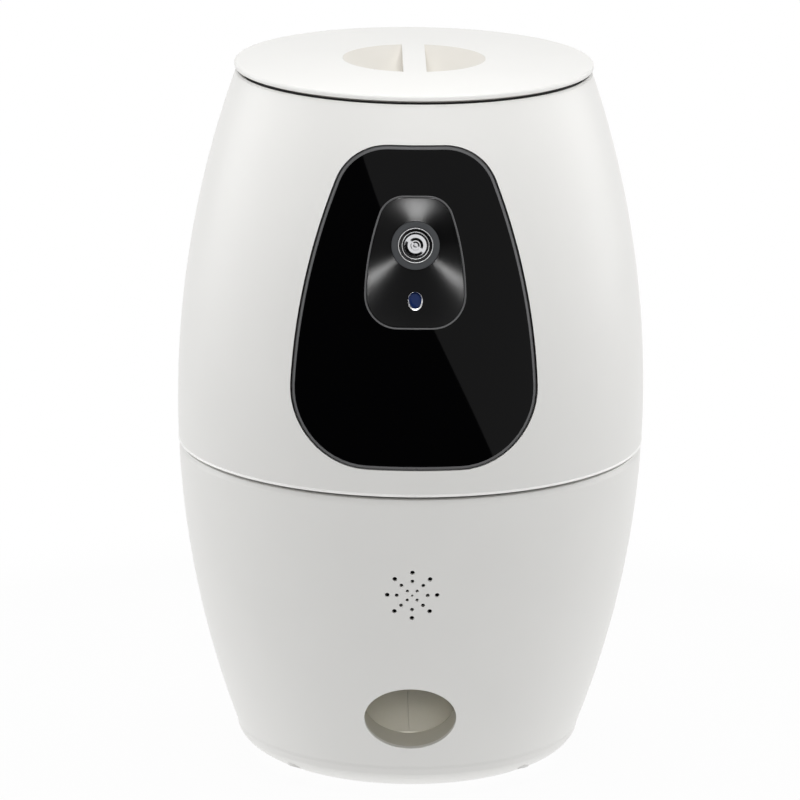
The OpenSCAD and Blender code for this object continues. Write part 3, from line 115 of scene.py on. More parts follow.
def shift(x: float = 0.0, y: float = 0.0, z: float = 0.0) -> Matrix:
    """Move by a width, a depth and a height."""
    return Matrix.Translation((x, y, z))


def to_back(place: Point, depth: float = 0.0) -> Matrix:
    """Place of a turned form whose axis runs to the back, from its width and height."""
    return shift(place[0], depth, place[1]) @ Axis.BACK.value


def ring_places(ring: float, start: float) -> list[Matrix]:
    """Four places a quarter turn apart on a ring, from its radius and the first angle in degrees."""
    return [spin(start + 90.0 * i) @ shift(ring) for i in range(4)]


def arc(centre: Point, radius: float, start: float, end: float, steps: int) -> list[Point]:
    """Points of a circular arc.

    Args:
        centre: Middle of the circle.
        radius: Radius of the circle.
        start: First angle in degrees.
        end: Last angle in degrees.
        steps: Number of stretches.

    Returns:
        The points from the first angle to the last.
    """
    angles = [math.radians(start + (end - start) * i / steps) for i in range(steps + 1)]
    return [(centre[0] + radius * math.cos(a), centre[1] + radius * math.sin(a)) for a in angles]


def rounded(corners: Sequence[Corner], steps: int = 5, closed: bool = True) -> list[Point]:
    """Rounds the corners of a line.

    Args:
        corners: Each corner's place and its rounding radius.
        steps: Number of stretches in a rounding.
        closed: Whether the last corner joins the first.

    Returns:
        The points of the rounded line.
    """
    points: list[Point] = []
    count = len(corners)
    for i, (x, y, radius) in enumerate(corners):
        at_end = not closed and i in (0, count - 1)
        if radius <= 0.0 or at_end:
            points.append((x, y))
            continue
        here = Vector((x, y))
        before = Vector(corners[i - 1][:2]) - here
        after = Vector(corners[(i + 1) % count][:2]) - here
        half = before.angle(after) / 2.0
        reach = min(radius / math.tan(half), SIDE_SHARE * before.length, SIDE_SHARE * after.length)
        first = here + before.normalized() * reach
        last = here + after.normalized() * reach
        middle = here + (before.normalized() + after.normalized()).normalized() * (reach / math.cos(half))
        from_angle = math.atan2(first.y - middle.y, first.x - middle.x)
        sweep = math.remainder(math.atan2(last.y - middle.y, last.x - middle.x) - from_angle, TURN)
        points += arc((middle.x, middle.y), (first - middle).length, math.degrees(from_angle),
                      math.degrees(from_angle + sweep), steps)
    return points


def bored(end: float, *stretches: Point) -> list[Point]:
    """Profile of a drill with one or more widths.

    Args:
        end: Height at which the drill ends.
        *stretches: Radius of each stretch and the height at which it starts.

    Returns:
        The profile, from the axis out and back to it.
    """
    starts = [low for _, low in stretches]
    points = [(0.0, starts[0])]
    for (radius, low), high in zip(stretches, starts[1:] + [end]):
        points += [(radius, low), (radius, high)]
    return points + [(0.0, end)]


def oval(width: float, height: float, steps: int) -> list[Point]:
    """Points of an upright oval about the origin, anticlockwise, from its full width and height."""
    angles = [TURN * i / steps for i in range(steps)]
    return [(width / 2.0 * math.cos(a), height / 2.0 * math.sin(a)) for a in angles]


def round_box(width: float, height: float, radius: float) -> list[Point]:
    """Points of a rectangle with round corners about the origin, anticlockwise."""
    w, h = width / 2.0, height / 2.0
    return rounded([(w, h, radius), (-w, h, radius), (-w, -h, radius), (w, -h, radius)], 8)


@dataclass(frozen=True)
class Barrel:
    """The casing's outer skin: two bowed arcs that meet at the widest place, and a turned-under toe."""

    belly_r: float = 85.0
    belly_z: float = 134.0
    rim_r: float = 63.9
    rim_z: float = 255.7
    toe_r: float = 63.0
    toe_z: float = 11.7
    sole_r: float = 42.0
    seam_z: float = 117.4
    seam_gap: float = 0.3
    wall: float = 3.0

    def bow(self, z: float) -> float:
        """Gives the bowed arc's own radius.

        Args:
            z: A height on the arc, above or below the widest place.

        Returns:
            The radius of the upper or the lower arc.
        """
        drop = self.belly_r - (self.rim_r if z >= self.belly_z else self.toe_r)
        rise = self.rim_z - self.belly_z if z >= self.belly_z else self.belly_z - self.toe_z
        return (rise * rise + drop * drop) / (2.0 * drop)

    def radius(self, z: float) -> float:
        """Radius of the skin at a height."""
        bow = self.bow(z)
        return self.belly_r - bow + math.sqrt(bow * bow - (z - self.belly_z) ** 2)

    def lean(self, z: float) -> float:
        """Angle in radians by which the skin faces up at a height."""
        return math.asin((z - self.belly_z) / self.bow(z))

    def side(self, low: float, high: float, inset: float, steps: int) -> list[Point]:
        """Profile of the skin between two heights.

        Args:
            low: First height.
            high: Last height.
            inset: How far the line lies inside the skin.
            steps: Number of stretches.

        Returns:
            Radius and height of each point.
        """
        heights = [low + (high - low) * i / steps for i in range(steps + 1)]
        return [(self.radius(z) - inset, z) for z in heights]

    def toe(self, inset: float, lift: float, steps: int) -> list[Point]:
        """Profile of the turned-under toe from the sole to the side.

        Args:
            inset: How far the line lies inside the side.
            lift: Height of the line above the underside.
            steps: Number of stretches.

        Returns:
            Radius and height of each point.
        """
        width = self.toe_r - inset - self.sole_r
        angles = [math.radians(90.0 - 90.0 * i / steps) for i in range(steps + 1)]
        return [(self.sole_r + width * math.cos(a), lift + (self.toe_z - lift) * (1.0 - math.sin(a)))
                for a in angles]

    def depth(self, x: float, z: float, inset: float) -> float:
        """Depth from the axis to a line inside the skin, at a width and a height."""
        skin_r = self.radius(z) - inset
        return math.sqrt(skin_r * skin_r - x * x)

    def front(self, x: float, z: float, sunk: float) -> Vector:
        """Point on the front of the skin, sunk straight into it."""
        out = Vector((x, -self.depth(x, z, 0.0), z))
        return out - self.facing(out) * sunk

    def facing(self, point: Vector) -> Vector:
        """Gives the direction that the skin faces.

        Args:
            point: A point on the skin.

        Returns:
            The direction, one unit long.
        """
        lean = self.lean(point.z)
        flat = Vector((point.x, point.y, 0.0)).normalized() * math.cos(lean)
        return Vector((flat.x, flat.y, math.sin(lean)))

    def at_wall(self, z: float) -> Matrix:
        """Frame on the front of the skin, with its Y axis straight into the wall."""
        return shift(0.0, -self.radius(z), z) @ Matrix.Rotation(-self.lean(z), 4, "X")

    def bands(self, shape: Shield, profile: Iterable[Point]) -> list[Loop]:
        """Lays loops that follow a shield on the front of the skin.

        Args:
            shape: The shield.
            profile: How far each loop is grown out of the shield, and how deep it is sunk.

        Returns:
            The loops.
        """
        return [[self.front(x, z, sunk) for x, z in shape.outline(grow)] for grow, sunk in profile]


@dataclass(frozen=True)
class Shield:
    """A rounded trapezoid with bowed sides, as the window and the camera pod have."""

    top: float
    bottom: float
    top_flat: float
    top_corner: float
    bottom_flat: float
    bottom_corner: float
    bow: float
    steps: int = 14
    flat_steps: int = 4

    def outline(self, grow: float = 0.0) -> list[Point]:
        """Outline grown by a margin.

        Args:
            grow: How far the outline lies outside its drawn line.

        Returns:
            Width and height of each point, clockwise from the middle of the top.
        """
        upper = Vector((self.top_flat, self.top - self.top_corner))
        lower = Vector((self.bottom_flat, self.bottom + self.bottom_corner))
        gap = (lower - upper).length
        near, far = self.bow - self.top_corner, self.bow - self.bottom_corner
        along = (near * near - far * far + gap * gap) / (2.0 * gap)
        across = math.sqrt(near * near - along * along)
        step = (lower - upper) / gap
        middle = upper + along * step + across * Vector((step.y, -step.x))
        first = math.degrees(math.atan2(upper.y - middle.y, upper.x - middle.x))
        last = math.degrees(math.atan2(lower.y - middle.y, lower.x - middle.x))
        flats = range(self.flat_steps)
        half = [(self.top_flat * i / self.flat_steps, self.top + grow) for i in flats]
        half += arc(tuple(upper), self.top_corner + grow, 90.0, first, self.steps)
        half += arc(tuple(middle), self.bow + grow, first, last, self.steps)[1:]
        half += arc(tuple(lower), self.bottom_corner + grow, last, -90.0, self.steps)[1:]
        half += [(self.bottom_flat * i / self.flat_steps, self.bottom - grow) for i in reversed(flats)]
        return half + [(-x, z) for x, z in reversed(half[1:-1])]


@dataclass(frozen=True)
class Mouth:
    """The oval of the treat outlet in the front of the lower shell."""

    width: float = 33.0
    height: float = 24.7
    z: float = 31.8
    steps: int = 96

    def outline(self, grow: float = 0.0) -> list[Point]:
        """Points of the oval about its middle, grown by a margin."""
        return oval(self.width + 2.0 * grow, self.height + 2.0 * grow, self.steps)

    def reach(self, point: Vector, grow: float = 0.0) -> float:
        """How far out a point lies: 1 on the oval that is grown by a margin."""
        return math.hypot(point.x / (self.width / 2.0 + grow), (point.z - self.z) / (self.height / 2.0 + grow))


class Form:
    """A mesh that is being shaped, in millimetres."""

    def __init__(self) -> None:
        """Starts an empty form."""
        self.bm = bmesh.new()

    @classmethod
    def spun(cls, profile: Sequence[Point], steps: int = 192, angle: float = 360.0,
             closed: bool = True) -> Form:
        """Turns a profile about the upright axis.

        Args:
            profile: Radius and height of each point.
            steps: Number of stretches round the axis.
            angle: Sweep in degrees.
            closed: Whether the profile's last point joins its first.

        Returns:
            The turned form.
        """
        form = cls()
        bm = form.bm
        verts = [bm.verts.new((r, 0.0, z)) for r, z in profile]
        edges = [bm.edges.new(pair) for pair in zip(verts, verts[1:])]
        if closed:
            edges.append(bm.edges.new((verts[-1], verts[0])))
        full = angle >= 360.0
        made = bmesh.ops.spin(bm, geom=verts + edges, cent=(0, 0, 0), axis=(0, 0, 1),
                              angle=math.radians(angle), steps=steps, use_merge=full)
        if not full:
            ends = [e for e in made["geom_last"] if isinstance(e, bmesh.types.BMEdge)]
            bmesh.ops.contextual_create(bm, geom=edges)
            bmesh.ops.contextual_create(bm, geom=ends)
        return form.tidied()

    @classmethod
    def spread(cls, profile: Sequence[Point], steps: int, places: Iterable[Matrix],
               closed: bool = False) -> list[Form]:
        """Turned forms of one profile, one at each place."""
        return [cls.spun(profile, steps, closed=closed).moved(place) for place in places]

    @classmethod
    def thirds(cls, profile: Sequence[Point], steps: int, sweep: float, middle: float) -> list[Form]:
        """Cuts three stretches of a turned ring, a third of a turn apart.

        Args:
            profile: Radius and height of each point.
            steps: Number of stretches in a sweep.
            sweep: Sweep of each in degrees.
            middle: Angle of the first one's middle in degrees.

        Returns:
            The three forms.
        """
        starts = [middle + 120.0 * i - sweep / 2.0 for i in range(3)]
        return [cls.spun(profile, steps, sweep).moved(spin(start)) for start in starts]

    @classmethod
    def prism(cls, outline: Sequence[Point], near: float, far: float) -> Form:
        """Draws an upright outline out along the depth axis.

        Args:
            outline: Width and height of each point.
            near: First depth, along Y.
            far: Last depth, along Y.

        Returns:
            The drawn-out form.
        """
        form = cls()
        bm = form.bm
        face = bm.faces.new([bm.verts.new((x, near, z)) for x, z in outline])
        made = bmesh.ops.extrude_face_region(bm, geom=[face])
        moved = [v for v in made["geom"] if isinstance(v, bmesh.types.BMVert)]
        bmesh.ops.translate(bm, verts=moved, vec=(0.0, far - near, 0.0))
        return form.tidied()

    @classmethod
    def block(cls, low: Sequence[float], high: Sequence[float], soft: float = 0.0) -> Form:
        """Makes a box with soft edges.

        Args:
            low: Lowest corner.
            high: Highest corner.
            soft: Rounding of the edges.

        Returns:
            The box.
        """
        form = cls()
        size = [b - a for a, b in zip(low, high)]
        middle = [(a + b) / 2.0 for a, b in zip(low, high)]
        place = Matrix.Translation(middle) @ Matrix.Diagonal((*size, 1.0))
        bmesh.ops.create_cube(form.bm, size=1.0, matrix=place)
        if soft > 0.0:
            bmesh.ops.bevel(form.bm, geom=form.bm.edges[:], offset=soft, affect="EDGES", segments=3,
                            profile=0.5, material=-1)
        return form

    @classmethod
    def rod(cls, place: Point, radius: float, near: float, far: float) -> Form:
        """Makes a round bar along the depth axis, from its width and height, its radius and two depths."""
        return cls.spun(bored(far, (radius, near)), 48, closed=False).moved(to_back(place))

    @classmethod
    def rings(cls, loops: Sequence[Loop]) -> Form:
        """Joins a row of closed loops with equal counts into one skin.

        Args:
            loops: The loops, each a list of points.

        Returns:
            The skin, open at its first and last loop.
        """
        form = cls()
        bm = form.bm
        verts = [bm.verts.new(p) for p in loops[0]]
        edges = [bm.edges.new((verts[i - 1], verts[i])) for i in range(len(verts))]
        for loop in loops[1:]:
            made = bmesh.ops.extrude_edge_only(bm, edges=edges)["geom"]
            fresh = [v for v in made if isinstance(v, bmesh.types.BMVert)]
            edges = [e for e in made if isinstance(e, bmesh.types.BMEdge)
                     and e.verts[0] in fresh and e.verts[1] in fresh]
            partners = {v: next(e.other_vert(v) for e in v.link_edges if e.other_vert(v) not in fresh)
                        for v in fresh}
            order = {v: i for i, v in enumerate(verts)}
            for vert, partner in partners.items():
                vert.co = loop[order[partner]]
            verts = sorted(fresh, key=lambda v: order[partners[v]])
        return form

    @classmethod
    def hoop(cls, loops: Sequence[Loop]) -> Form:
        """Joins a row of closed loops into one skin, and the last of them to the first."""
        return cls.rings([*loops, loops[0]]).tidied()

    def tidied(self) -> Form:
        """Merges doubles and turns every face outwards.

        Returns:
            This form.
        """
        bmesh.ops.remove_doubles(self.bm, verts=self.bm.verts, dist=MERGE)
        bmesh.ops.dissolve_degenerate(self.bm, dist=MERGE, edges=self.bm.edges)
        bmesh.ops.recalc_face_normals(self.bm, faces=self.bm.faces)
        return self

    def moved(self, matrix: Matrix) -> Form:
        """Moves or turns the whole form."""
        bmesh.ops.transform(self.bm, matrix=matrix, verts=self.bm.verts)
        return self

    def capped(self) -> Form:
        """Closes open ends with flat faces."""
        bmesh.ops.holes_fill(self.bm, edges=[e for e in self.bm.edges if e.is_boundary], sides=0)
        return self.tidied()

    def thickened(self, depth: float) -> Form:
        """Gives an open skin a wall behind it.

        Args:
            depth: Thickness of the wall.

        Returns:
            This form.
        """
        bmesh.ops.recalc_face_normals(self.bm, faces=self.bm.faces)
        bmesh.ops.solidify(self.bm, geom=self.bm.faces[:], thickness=depth)
        return self

    def joined(self, *others: Form) -> Form:
        """Takes other forms into this one.

        Args:
            *others: The other forms. They are used up.

        Returns:
            This form.
        """
        for other in others:
            spare = bpy.data.meshes.new("spare")
            other.bm.to_mesh(spare)
            other.bm.free()
            self.bm.from_mesh(spare)
            bpy.data.meshes.remove(spare)
        return self

    def carved(self, *cutters: Form) -> Form:
        """Cuts other forms, which are used up, out of this one."""
        return self.combined("DIFFERENCE", cutters)

    def fused(self, *others: Form) -> Form:
        """Melts other forms, which are used up, into this one."""
        return self.combined("UNION", others)

    def combined(self, operation: str, others: Sequence[Form]) -> Form:
        """Cuts or melts this form with others.

        Args:
            operation: Name of the operation.
            others: The other forms, clear of each other. They are used up.

        Returns:
            This form, changed.
        """
        blank = self.shown("blank")
        tool = others[0].joined(*others[1:]).shown("tool")
        cut = blank.modifiers.new("cut", "BOOLEAN")
        cut.operation = operation
        cut.solver = "EXACT"
        cut.use_self = False
        cut.object = tool
        graph = bpy.context.evaluated_depsgraph_get()
        result = bpy.data.meshes.new_from_object(blank.evaluated_get(graph))
        self.bm = bmesh.new()
        self.bm.from_mesh(result)
        for thing in (blank, tool):
            mesh = thing.data
            bpy.data.objects.remove(thing)
            bpy.data.meshes.remove(mesh)
        bpy.data.meshes.remove(result)
        return self

    def softened(self, width: float, wanted: Callable[[bmesh.types.BMEdge], bool], segments: int = 3) -> Form:
        """Rounds the edges that a test picks.

        Args:
            width: Width of the rounding.
            wanted: Test for each edge.
            segments: Number of faces across the rounding.

        Returns:
            This form.
        """
        edges = [e for e in self.bm.edges if len(e.link_faces) == 2 and wanted(e)]
        bmesh.ops.bevel(self.bm, geom=edges, offset=width, affect="EDGES", segments=segments,
                        profile=0.5, material=-1, clamp_overlap=True)
        return self

    def shown(self, name: str) -> bpy.types.Object:
        """Puts the form into the scene and lets it go.

        Args:
            name: Name of the object.

        Returns:
            The object.
        """
        mesh = bpy.data.meshes.new(name)
        self.bm.to_mesh(mesh)
        self.bm.free()
        thing = bpy.data.objects.new(name, mesh)
        bpy.context.scene.collection.objects.link(thing)
        return thing


@dataclass(frozen=True)
class NodeSheet:
    """The nodes of a material or of the world."""

    tree: bpy.types.NodeTree

    @classmethod
    def of_material(cls, name: str) -> tuple[bpy.types.Material, NodeSheet]:
        """Starts a node material.

        Args:
            name: Name of the material.

        Returns:
            The material and its nodes.
        """
        material = bpy.data.materials.new(name)
        material.use_nodes = True
        return material, cls(material.node_tree)

    def put(self, node: bpy.types.Node, inputs: dict) -> bpy.types.Node:
        """Sets a node's inputs.

        Args:
            node: The node.
            inputs: For each input a value, or a socket to link it to.

        Returns:
            The node.
        """
        for name, value in inputs.items():
            if isinstance(value, bpy.types.NodeSocket):
                self.tree.links.new(value, node.inputs[name])
            else:
                node.inputs[name].default_value = value
        return node

    def feed(self, name: str, inputs: dict) -> bpy.types.Node:
        """Sets the inputs of a node that is there from the start."""
        return self.put(self.tree.nodes[name], inputs)

    def add(self, kind: str, inputs: dict, **settings: str) -> bpy.types.Node:
        """Adds a node.

        Args:
            kind: End of the name of the node's type.
            inputs: For each input a value, or a socket to link it to.
            **settings: The node's own settings.

        Returns:
            The node.
        """
        node = self.tree.nodes.new("ShaderNode" + kind)
        for name, value in settings.items():
            setattr(node, name, value)
        return self.put(node, inputs)

    def calc(self, operation: str, first: object, second: object) -> bpy.types.NodeSocket:
        """Adds a calculation with two values or sockets, and gives its result."""
        return self.add("Math", {0: first, 1: second}, operation=operation).outputs["Value"]


@dataclass(frozen=True)
class Finish:
    """A surface: its colour, gloss, fine grain and slight unevenness."""

    slot: str
    colour: tuple[float, float, float]
    roughness: float
    grain: float = 0.35
    relief: float = 0.012
    mottle: float = 0.03
    patch: float = 30.0
    metallic: float = 0.0
    ior: float = 1.46
    transmission: float = 0.0
    gloss_drift: float = 0.08

    def material(self) -> bpy.types.Material:
        """Builds the node material of this finish.

        Returns:
            The material.
        """
        material, sheet = NodeSheet.of_material(self.slot)
        place = sheet.add("TexCoord", {}).outputs["Object"]
        inputs = {"Metallic": self.metallic, "IOR": self.ior, "Transmission Weight": self.transmission,
                  "Base Color": self.drifting_colour(sheet, place), "Roughness": self.gloss(sheet, place)}
        if self.relief > 0.0:
            grain = self.noise(sheet, place, self.grain, 3.0)
            bump = sheet.add("Bump", {"Strength": 1.0, "Distance": self.relief * MM, "Height": grain})
            inputs["Normal"] = bump.outputs["Normal"]
        sheet.feed("Principled BSDF", inputs)
        return material

    def noise(self, sheet: NodeSheet, place: bpy.types.NodeSocket, size: float,
              detail: float) -> bpy.types.NodeSocket:
        """Adds a noise pattern.

        Args:
            sheet: The material's nodes.
            place: The socket with the object's coordinates.
            size: Size of the pattern in millimetres.
            detail: Number of finer layers.

        Returns:
            The socket with the noise.
        """
        inputs = {"Scale": 1.0 / (size * MM), "Detail": detail, "Vector": place}
        return sheet.add("TexNoise", inputs).outputs["Fac"]

    def drifting_colour(self, sheet: NodeSheet, place: bpy.types.NodeSocket) -> bpy.types.NodeSocket:
        """Lets the colour drift a little over the surface.

        Args:
            sheet: The material's nodes.
            place: The socket with the object's coordinates.

        Returns:
            The socket with the colour.
        """
        ramp = sheet.add("ValToRGB", {"Fac": self.noise(sheet, place, self.patch, 2.0)})
        ends = ((0.3, 1.0 - self.mottle), (0.7, 1.0 + self.mottle))
        for element, (position, share) in zip(ramp.color_ramp.elements, ends):
            element.position = position
            element.color = (*(min(1.0, c * share) for c in self.colour), 1.0)
        return ramp.outputs["Color"]

    def gloss(self, sheet: NodeSheet, place: bpy.types.NodeSocket) -> bpy.types.NodeSocket:
        """Lets the gloss vary between nearby spots.

        Args:
            sheet: The material's nodes.
            place: The socket with the object's coordinates.

        Returns:
            The socket with the roughness.
        """
        spread = {"Value": self.noise(sheet, place, self.patch / 4.0, 3.0),
                  "To Min": self.roughness * (1.0 - self.gloss_drift),
                  "To Max": min(1.0, self.roughness * (1.0 + self.gloss_drift))}
        return sheet.add("MapRange", spread).outputs["Result"]


FINISHES = (
    Finish("white_shell", (0.80, 0.795, 0.775), 0.42, mottle=0.008, relief=0.004),
    # A brighter white laid on the seam bead: a painted highlight along the seam.
    Finish("seam_painted_highlight", (0.95, 0.945, 0.93), 0.35, mottle=0.005, relief=0.0),
    # white_inner is the inner parts' own colour, and is also laid in the lid's finger recess as painted shade.
    Finish("white_inner", (0.72, 0.695, 0.645), 0.5, mottle=0.01, relief=0.006),
    Finish("beige_duct", (0.93, 0.905, 0.82), 0.5, mottle=0.02, relief=0.006),
    # beige_sleeve is a darker copy of beige_duct, laid on the outlet's inner face as painted shade.
    Finish("beige_sleeve", (0.6, 0.58, 0.515), 0.5, mottle=0.02, relief=0.006),
    Finish("black_window", (0.0012, 0.0012, 0.0014), 0.04, relief=0.0, mottle=0.02, ior=1.2),
    Finish("grey_trim", (0.1, 0.1, 0.103), 0.28, relief=0.0, mottle=0.02),
    Finish("dark_pod", (0.0035, 0.0035, 0.0037), 0.11, relief=0.0, mottle=0.03, ior=1.15),
    Finish("grey_disc", (0.058, 0.061, 0.065), 0.55, relief=0.003, mottle=0.02, ior=1.4),
    Finish("bright_metal", (0.86, 0.86, 0.87), 0.12, metallic=1.0, relief=0.0, mottle=0.01),
    Finish("lens_black", (0.004, 0.004, 0.0045), 0.22, relief=0.0, mottle=0.02),
    Finish("lens_glass", (0.66, 0.66, 0.68), 0.12, metallic=1.0, relief=0.0, mottle=0.01),
    Finish("sensor_blue", (0.009, 0.024, 0.1), 0.05, relief=0.0, mottle=0.05, patch=2.0, ior=1.25),
    Finish("steel", (0.62, 0.62, 0.64), 0.32, metallic=1.0, relief=0.002, mottle=0.04, patch=4.0),
    Finish("motor_steel", (0.55, 0.55, 0.57), 0.36, metallic=1.0, relief=0.002, mottle=0.05, patch=8.0),
    Finish("brass", (0.72, 0.53, 0.24), 0.35, metallic=1.0, relief=0.003, mottle=0.05, patch=4.0),
    Finish("gear_plastic", (0.76, 0.73, 0.62), 0.4, relief=0.003, mottle=0.03),
    Finish("rubber", (0.035, 0.035, 0.036), 0.72, relief=0.015, mottle=0.06, patch=6.0),
    Finish("grey_rubber", (0.62, 0.61, 0.58), 0.68, relief=0.012, mottle=0.05, patch=8.0),
    Finish("pale_rubber", (0.60, 0.60, 0.58), 0.62, relief=0.01, mottle=0.03, patch=8.0),
    Finish("board_green", (0.015, 0.13, 0.055), 0.35, relief=0.004, mottle=0.12, patch=5.0),
    Finish("black_plastic", (0.018, 0.018, 0.02), 0.42, relief=0.006, mottle=0.05, patch=8.0),
    Finish("cone_paper", (0.025, 0.025, 0.026), 0.85, grain=0.6, relief=0.04, mottle=0.15, patch=3.0),
    Finish("grey_button", (0.34, 0.34, 0.35), 0.45, relief=0.006, mottle=0.03, patch=6.0),
    Finish("light_pipe", (0.50, 0.80, 0.55), 0.18, relief=0.0, mottle=0.03, transmission=0.5),
)


@dataclass
class Workshop:
    """Holds the loaded frame and the finishes, and hands finished pieces over to the frame."""

    frame: dict
    lift: float
    materials: dict[str, bpy.types.Material] = field(default_factory=dict)

    def finish(self, slot: str) -> bpy.types.Material:
        """Gives a slot's material, made once.

        Args:
            slot: Name of the finish.

        Returns:
            The material.
        """
        if slot not in self.materials:
            chosen = next(f for f in FINISHES if f.slot == slot)
            self.materials[slot] = chosen.material()
        return self.materials[slot]

    def hand_over(self, form: Form, name: str, slot: str, body: Body, nodes: Iterable[str],
                  sharp: float = 35.0, facing: Callable[[Vector], Vector] | None = None) -> bpy.types.Object:
        """Turns a form into a finished piece of the object.

        Args:
            form: The shaped form, in millimetres. It is used up.
            name: Name of the piece.
            slot: Finish of the piece.
            body: Body that the piece rides on.
            nodes: Nodes of the frame that the piece stands for.
            sharp: Angle in degrees above which an edge stays sharp.
            facing: True direction of the surface at a point, where the skin must shade smoothly.

        Returns:
            The piece.
        """
        piece = form.shown(name)
        mesh = piece.data
        mesh.shade_smooth()
        mesh.set_sharp_from_angle(angle=math.radians(sharp))
        if facing:
            smooth_skin(mesh, facing)
        mesh.transform(Matrix.Scale(MM, 4) @ shift(z=self.lift / MM))
        mesh.materials.clear()
        mesh.materials.append(self.finish(slot))
        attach(piece, body.value)
        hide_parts(*nodes)
        LOG.info("%s: %d faces on %s", name, len(mesh.polygons), body.value)
        return piece

    def inlay(self, piece: bpy.types.Object, slot: str, wanted: Callable[[Vector], bool]) -> None:
        """Gives some faces of a piece a second finish.

        Args:
            piece: The finished piece.
            slot: The second finish.
            wanted: Test for the middle of each face, in millimetres.
        """
        piece.data.materials.append(self.finish(slot))
        for face in piece.data.polygons:
            if wanted((face.center - Vector((0.0, 0.0, self.lift))) / MM):
                face.material_index = 1

    def dress_nodes(self) -> None:
        """Gives every node of the frame that still shows the finish of its slot."""
        for part in self.frame["record"]["subparts"]:
            node = self.frame["nodes"][part["node"]]
            if not node.hide_render:
                node.data.materials.clear()
                node.data.materials.append(self.finish(part["material_slot"]))
                LOG.info("%s: %s", part["node"], part["material_slot"])


def smooth_skin(mesh: bpy.types.Mesh, facing: Callable[[Vector], Vector]) -> None:
    """Shades the faces that follow a known surface with that surface's own directions.

    Args:
        mesh: The mesh, in millimetres.
        facing: Direction of the surface at a point.
    """
    normals = [Vector((0.0, 0.0, 0.0)) for _ in mesh.loops]
    for face in mesh.polygons:
        if face.normal.dot(facing(face.center)) > ON_SKIN:
            for i in face.loop_indices:
                normals[i] = facing(mesh.vertices[mesh.loops[i].vertex_index].co)
    mesh.normals_split_custom_set(normals)


@dataclass
class UpperShell:
    """The barrel above the seam, with the opening that the window closes."""

    barrel: Barrel
    window: Shield
    seam_lift: float = 0.75
    bead: float = 0.45
    bead_h: float = 1.1
    bead_mid: float = 0.3
    painted_highlight_reach: float = 0.4
    rim_round: float = 0.6
    rim_drop: float = 0.6
    rim_slope: float = 1.0
    rest_r: float = 61.9
    rest_z: float = 253.5
    lip_r: float = 55.5
    lip_t: float = 2.6
    window_gap: float = 0.1
    cut_near: float = -110.0
    cut_far: float = -40.0

    def build(self, shop: Workshop) -> None:
        """Turns the shell, cuts its window opening and paints a highlight on the seam bead.

        Args:
            shop: The workshop that takes the piece.
        """
        barrel = self.barrel
        low = barrel.seam_z + barrel.seam_gap + self.seam_lift
        under = self.rest_z - self.lip_t
        rim_z = barrel.rim_z - self.rim_drop
        outer = barrel.side(low + self.bead_h, rim_z - self.rim_round, 0.0, 64)
        inner = barrel.side(under, low, barrel.wall, 24)
        edge_r = barrel.radius(low)
        lower_edge = rounded([(edge_r - 2.0, low, 0.0), (edge_r - 0.3, low, 0.3),
                              (edge_r + self.bead, low + self.bead_h * self.bead_mid, 0.4),
                              (edge_r + 0.05, low + self.bead_h - 0.1, 0.2),
                              outer[0] + (0.0,)], 4, closed=False)[:-1]
        rim_in = barrel.radius(rim_z) - self.rim_round
        upper_edge = arc((rim_in, rim_z - self.rim_round), self.rim_round, 12.0, 90.0, 5)
        rest = rounded([(rim_in, rim_z, 0.0), (self.rest_r, rim_z - self.rim_slope, 0.2),
                        (self.rest_r, self.rest_z, 0.3), (self.lip_r, self.rest_z, 0.3),
                        (self.lip_r, under, 0.0)], closed=False)
        form = Form.spun(lower_edge + outer + upper_edge + rest[1:] + inner, 256)
        form.carved(Form.prism(self.window.outline(self.window_gap), self.cut_near, self.cut_far))
        shell = shop.hand_over(form, "upper_shell_skin", "white_shell", Body.CASING, ["upper_shell"],
                               facing=barrel.facing)
        # Painted highlight: the seam bead's outer faces get a brighter white than the rest of the shell.
        shop.inlay(shell, "seam_painted_highlight",
                   lambda p: p.z < low + self.bead_h and p.xy.length > edge_r - self.painted_highlight_reach)


